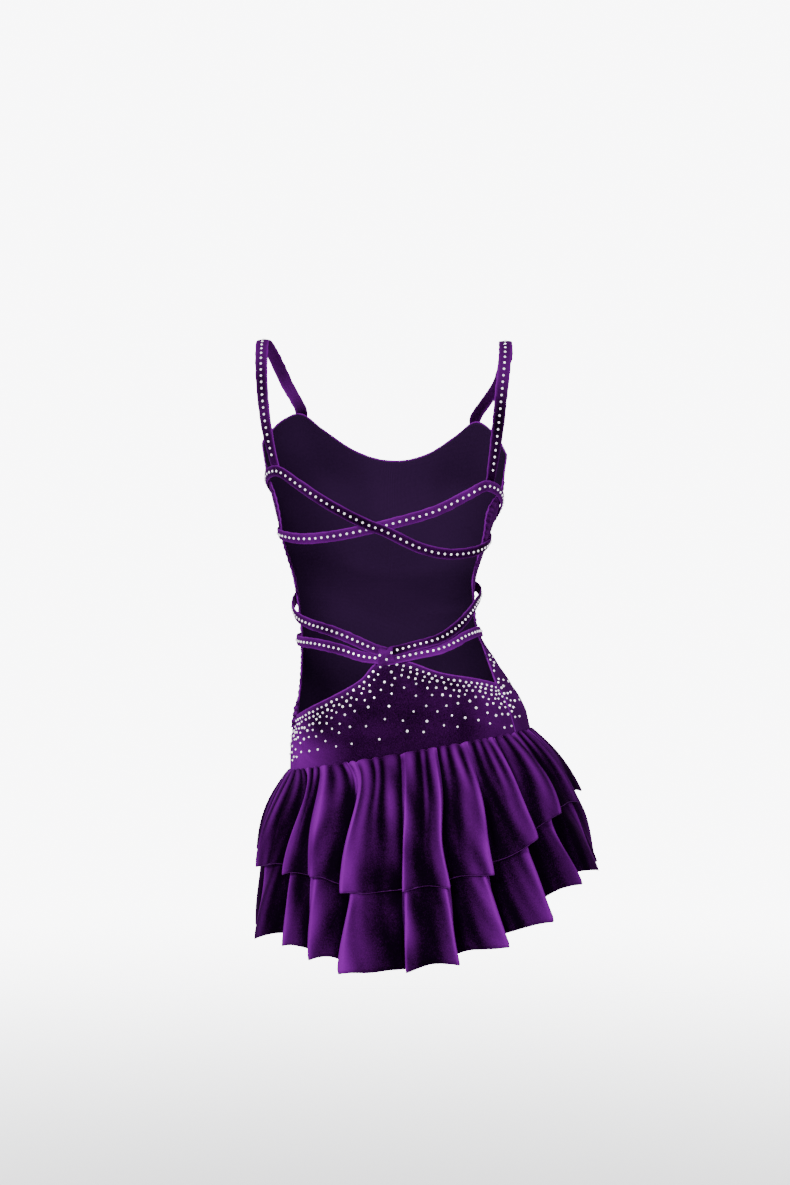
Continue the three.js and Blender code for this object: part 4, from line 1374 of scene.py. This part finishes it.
def bar_tacks(name, centres, outs, alongs):
    """Close rows of short thread stitches across a strap's end: each a six-sided bar with
    pointed ends, set side by side."""
    shift = np.linspace(-1, 1, STITCHES)[:, None]
    reach = np.linspace(-1, 1, STITCH_SWELL.size)[:, None]
    turn = turns_round(STITCH_SIDES)
    rounds = np.cos(turn)[:, None], np.sin(turn)[:, None]
    thick = STITCH_RADIUS * STITCH_SWELL[:, None, None]
    pieces = []
    for centre, out, ahead, beside in zip(centres, outs, alongs, np.cross(outs, alongs)):
        middle = centre + shift * beside * TACK_WIDTH / 2
        path = middle[:, None] + reach * ahead * STITCH_HALF - out * reach**2 * STITCH_SINK
        ring = rounds[0] * beside + rounds[1] * out
        pieces.append(path[:, :, None] + thick * ring)
    points = np.concatenate(pieces)
    spread = np.stack(np.broadcast_arrays(reach * STITCH_HALF, turn), -1)
    uv = np.broadcast_to(spread, (len(points), *spread.shape)).copy()
    body = capped_faces(STITCH_SWELL.size, STITCH_SIDES)
    faces = repeated(body, len(points), STITCH_SWELL.size * STITCH_SIDES)
    painted_light_and_tone = np.full(points.shape[:-1], 0.7)
    return make_piece(name, points, faces, (THREAD,), uv, painted_light_and_tone)


# ---- The dress ----

LOOP_STONES = table("aside down", (-0.72, 0.52), (-0.08, 0.78), (0.6, 0.47))
PANEL_STONE_SEAT = 0.45
HEM_ROLL = 0.75
LEFT, RIGHT = SIDE_SEAMS["left"], SIDE_SEAMS["right"]
# Each half of a tier: its node, its tier, from and to which angle, its rows, and its
# columns to a flute.
TIER_HALVES = (
    ("upper_ruffle_back", UPPER_TIER, LEFT, RIGHT, 60, 44),
    ("upper_ruffle_front", UPPER_TIER, RIGHT, LEFT + 360, 40, 32),
    ("lower_ruffle_back", LOWER_TIER, LEFT, RIGHT, 60, 40),
    ("lower_ruffle_front", LOWER_TIER, RIGHT, LEFT + 360, 52, 32),
)


def grid_outs(points):
    """The way out of a grid at each of its points."""
    return unit(np.cross(np.gradient(points, axis=0), np.gradient(points, axis=1)))


def velvet_roll(name, points, outs, where, radius):
    """A rolled edge of velvet along one row or column of a cloth's grid."""
    path = points[where] - outs[where] * ROLL_SINK
    return edge_roll(name, path, outs[where], radius, STRAP_VELVET)


def joined(rows):
    """Centres, ways out and ways along, each joined from all the rows."""
    return [np.concatenate(part) for part in zip(*rows)]


panel, panel_points = front_panel()
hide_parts("front_panel")
yoke, yoke_points = hip_yoke()
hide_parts("hip_yoke_back")
every = slice(None)
panel_grid = (panel_points, grid_outs(panel_points))
panel_rolls = [
    velvet_roll("panel_neck_roll", *panel_grid, 0, EDGE_ROLL),
    velvet_roll("panel_side_roll_right", *panel_grid, (every, 0), EDGE_ROLL),
    velvet_roll("panel_side_roll_left", *panel_grid, (every, -1), EDGE_ROLL),
]
binding_right = side_binding("side_binding_right", 1, "right", 0)
binding_left = side_binding("side_binding_left", -1, "left", 1)
waist_loop()
yoke_roll = velvet_roll("yoke_top_roll", yoke_points, grid_outs(yoke_points), 0, YOKE_ROLL)

lays = {name: figure_strap_lay(route) for name, route in FIGURE_STRAPS.items()}
lays |= {name: shoulder_strap_lay(**parts) for name, parts in SHOULDER_STRAPS.items()}
stone_rows = []
tack_rows = []
for number, (name, lay) in enumerate(lays.items()):
    piece = strap(name, lay, 100 + 10 * number)
    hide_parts(name)
    shoulder = name.startswith("shoulder")
    spacing = WAIST_STONE_SPACING if name.startswith("waist") else STONE_SPACING
    length = even_steps(lay, spacing)[1]
    clear = (18, 12) if shoulder else (11, 11)
    stone_rows.append(strap_stone_places(lay, spacing, *clear))
    tack_rows.append(tack_places(name, lay))
stone_rows.append(loop_stone_places())
strap_places = joined(stone_rows)
stones("strap_stones", *strap_places, np.full(len(strap_places[0]), STONE_RADIUS), 51)
bar_tacks("strap_tacks", *joined(tack_rows))

yoke_places = yoke_stone_places()
yoke_seat = CLOTH + yoke_rise(*yoke_places.T) + STONE_SEAT
stones_on_figure("yoke_stones", yoke_places, yoke_seat, 52)
stones_on_figure("panel_stones", panel_stone_places(), CLOTH + PANEL_STONE_SEAT, 53)

for name, *parts in TIER_HALVES:
    piece, points = tier_half(name + "_cloth", *parts)
    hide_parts(name)
    hem = edge_roll(name + "_hem", points[-1], grid_outs(points)[-1], HEM_ROLL, THREAD)


# ---- Floor, light and camera ----

FLOOR_HEIGHT = -1.4  # where the wearer's feet would stand
FLOOR_SIDES = 64
FLOOR_RINGS = (0.01, 1.0, 2.5, 5.0, 9.0)
FLOOR_FADE = {"From Min": 0.8, "From Max": 6.0, "To Min": 0.9, "To Max": 0.0}
SKY_SPAN = {"To Min": 0.16, "To Max": 9.0}  # its strength as a light, and as it is seen
# Soft lights: name, place, the point aimed at, side and power.
LIGHTS = (
    ("key_left", (-1.5, -3.0, 1.1), (0, 0, -0.5), 1.0, 95),
    ("key_right", (1.5, -3.1, 0.7), (0, 0, -0.5), 1.0, 55),
    ("front_high", (0.2, -2.4, 2.6), (0, 0, -0.5), 1.2, 40),
    ("rim_left", (-2.0, 1.6, 0.6), (0, 0, -0.4), 1.0, 9),
    ("rim_right", (2.0, 1.6, 0.6), (0, 0, -0.4), 1.0, 9),
)
CAMERA_DISTANCE = 3.5
CAMERA_AZIMUTH = math.radians(8)
PIXEL = 0.0013  # metres of the dress to a pixel of the image
IMAGE_WIDTH = 790
IMAGE_MIDDLE = (11, -251.5)  # in pixels right of the origin, and up from it
SENSOR = 36


def studio_floor():
    """A pale disc that fades out with its distance from the middle."""
    turn = turns_round(FLOOR_SIDES)
    rings = np.array(FLOOR_RINGS)[:, None]
    level = FLOOR_HEIGHT + 0 * rings * turn
    points = np.stack([rings * np.cos(turn), rings * np.sin(turn), level], -1)
    bands = grid_faces(len(FLOOR_RINGS), FLOOR_SIDES, around=True)[:, ::-1]
    faces = [list(range(FLOOR_SIDES))] + [list(f) for f in bands]
    mesh = bpy.data.meshes.new("studio_floor")
    mesh.from_pydata(points.reshape(-1, 3).tolist(), [], faces)
    floor = bpy.data.objects.new("studio_floor", mesh)
    bpy.context.scene.collection.objects.link(floor)
    material, shader = principled("pale_floor", Roughness=0.7, Specular_IOR_Level=0.2)
    tree = material.node_tree
    where = add_node(tree, "ShaderNodeTexCoord", (-900, 0))
    far = add_node(tree, "ShaderNodeVectorMath", (-700, 0), operation="LENGTH")
    fade = add_node(tree, "ShaderNodeMapRange", (-500, 0), sockets=FLOOR_FADE,
                    interpolation_type="SMOOTHSTEP")
    tone = noise_node(tree, (-500, 300), 1.5, 2)
    colour = blend_node(tree, (-250, 300), (0.80, 0.80, 0.81, 1), (0.84, 0.84, 0.85, 1))
    wire(
        tree,
        (where, "Object", far, 0),
        (far, "Value", fade, "Value"),
        (fade, "Result", shader, "Alpha"),
        (where, "Object", tone, "Vector"),
        (tone, "Fac", colour, "Factor"),
        (colour, COLOUR_OUT, shader, "Base Color"),
    )
    mesh.materials.append(material)


def studio_world():
    """A pale surround: bright where the camera sees it, softer where it lights the cloth."""
    world = bpy.data.worlds.new("studio")
    bpy.context.scene.world = world
    world.use_nodes = True
    tree = world.node_tree
    sky = tree.nodes["Background"]
    sky.inputs["Color"].default_value = (0.95, 0.95, 0.97, 1)
    seen = add_node(tree, "ShaderNodeLightPath", (-600, 0))
    strength = add_node(tree, "ShaderNodeMapRange", (-300, 0), sockets=SKY_SPAN)
    wire(tree, (seen, "Is Camera Ray", strength, "Value"), (strength, "Result", sky, "Strength"))


def soft_light(name, place, aim, size, power):
    """A square soft light at a place, aimed at a point."""
    light = bpy.data.lights.new(name, "AREA")
    light.shape = "SQUARE"
    light.size = size
    light.energy = power
    lamp = bpy.data.objects.new(name, light)
    bpy.context.scene.collection.objects.link(lamp)
    x, y, z = unit(np.array(aim) - np.array(place))
    lamp.location = place
    lamp.rotation_euler = (math.atan2(math.hypot(x, y), -z), 0, math.atan2(x, -y) + math.pi)


def camera():
    """The camera, level, a little to the wearer's right, on an image of 790 by 1185."""
    seen = bpy.data.cameras.new("camera")
    seen.sensor_fit = "HORIZONTAL"
    seen.sensor_width = SENSOR
    seen.lens = SENSOR * CAMERA_DISTANCE / (IMAGE_WIDTH * PIXEL)
    seen.clip_end = 60
    lens = bpy.data.objects.new("camera", seen)
    bpy.context.scene.collection.objects.link(lens)
    right = np.array([math.cos(CAMERA_AZIMUTH), math.sin(CAMERA_AZIMUTH), 0])
    ahead = np.array([-math.sin(CAMERA_AZIMUTH), math.cos(CAMERA_AZIMUTH), 0])
    aside, up = np.array(IMAGE_MIDDLE) * PIXEL
    lens.location = right * aside - ahead * CAMERA_DISTANCE + np.array([0, 0, up])
    lens.rotation_euler = (math.pi / 2, 0, CAMERA_AZIMUTH)
    bpy.context.scene.camera = lens


studio_floor()
studio_world()
for row in LIGHTS:
    soft_light(*row)
camera()
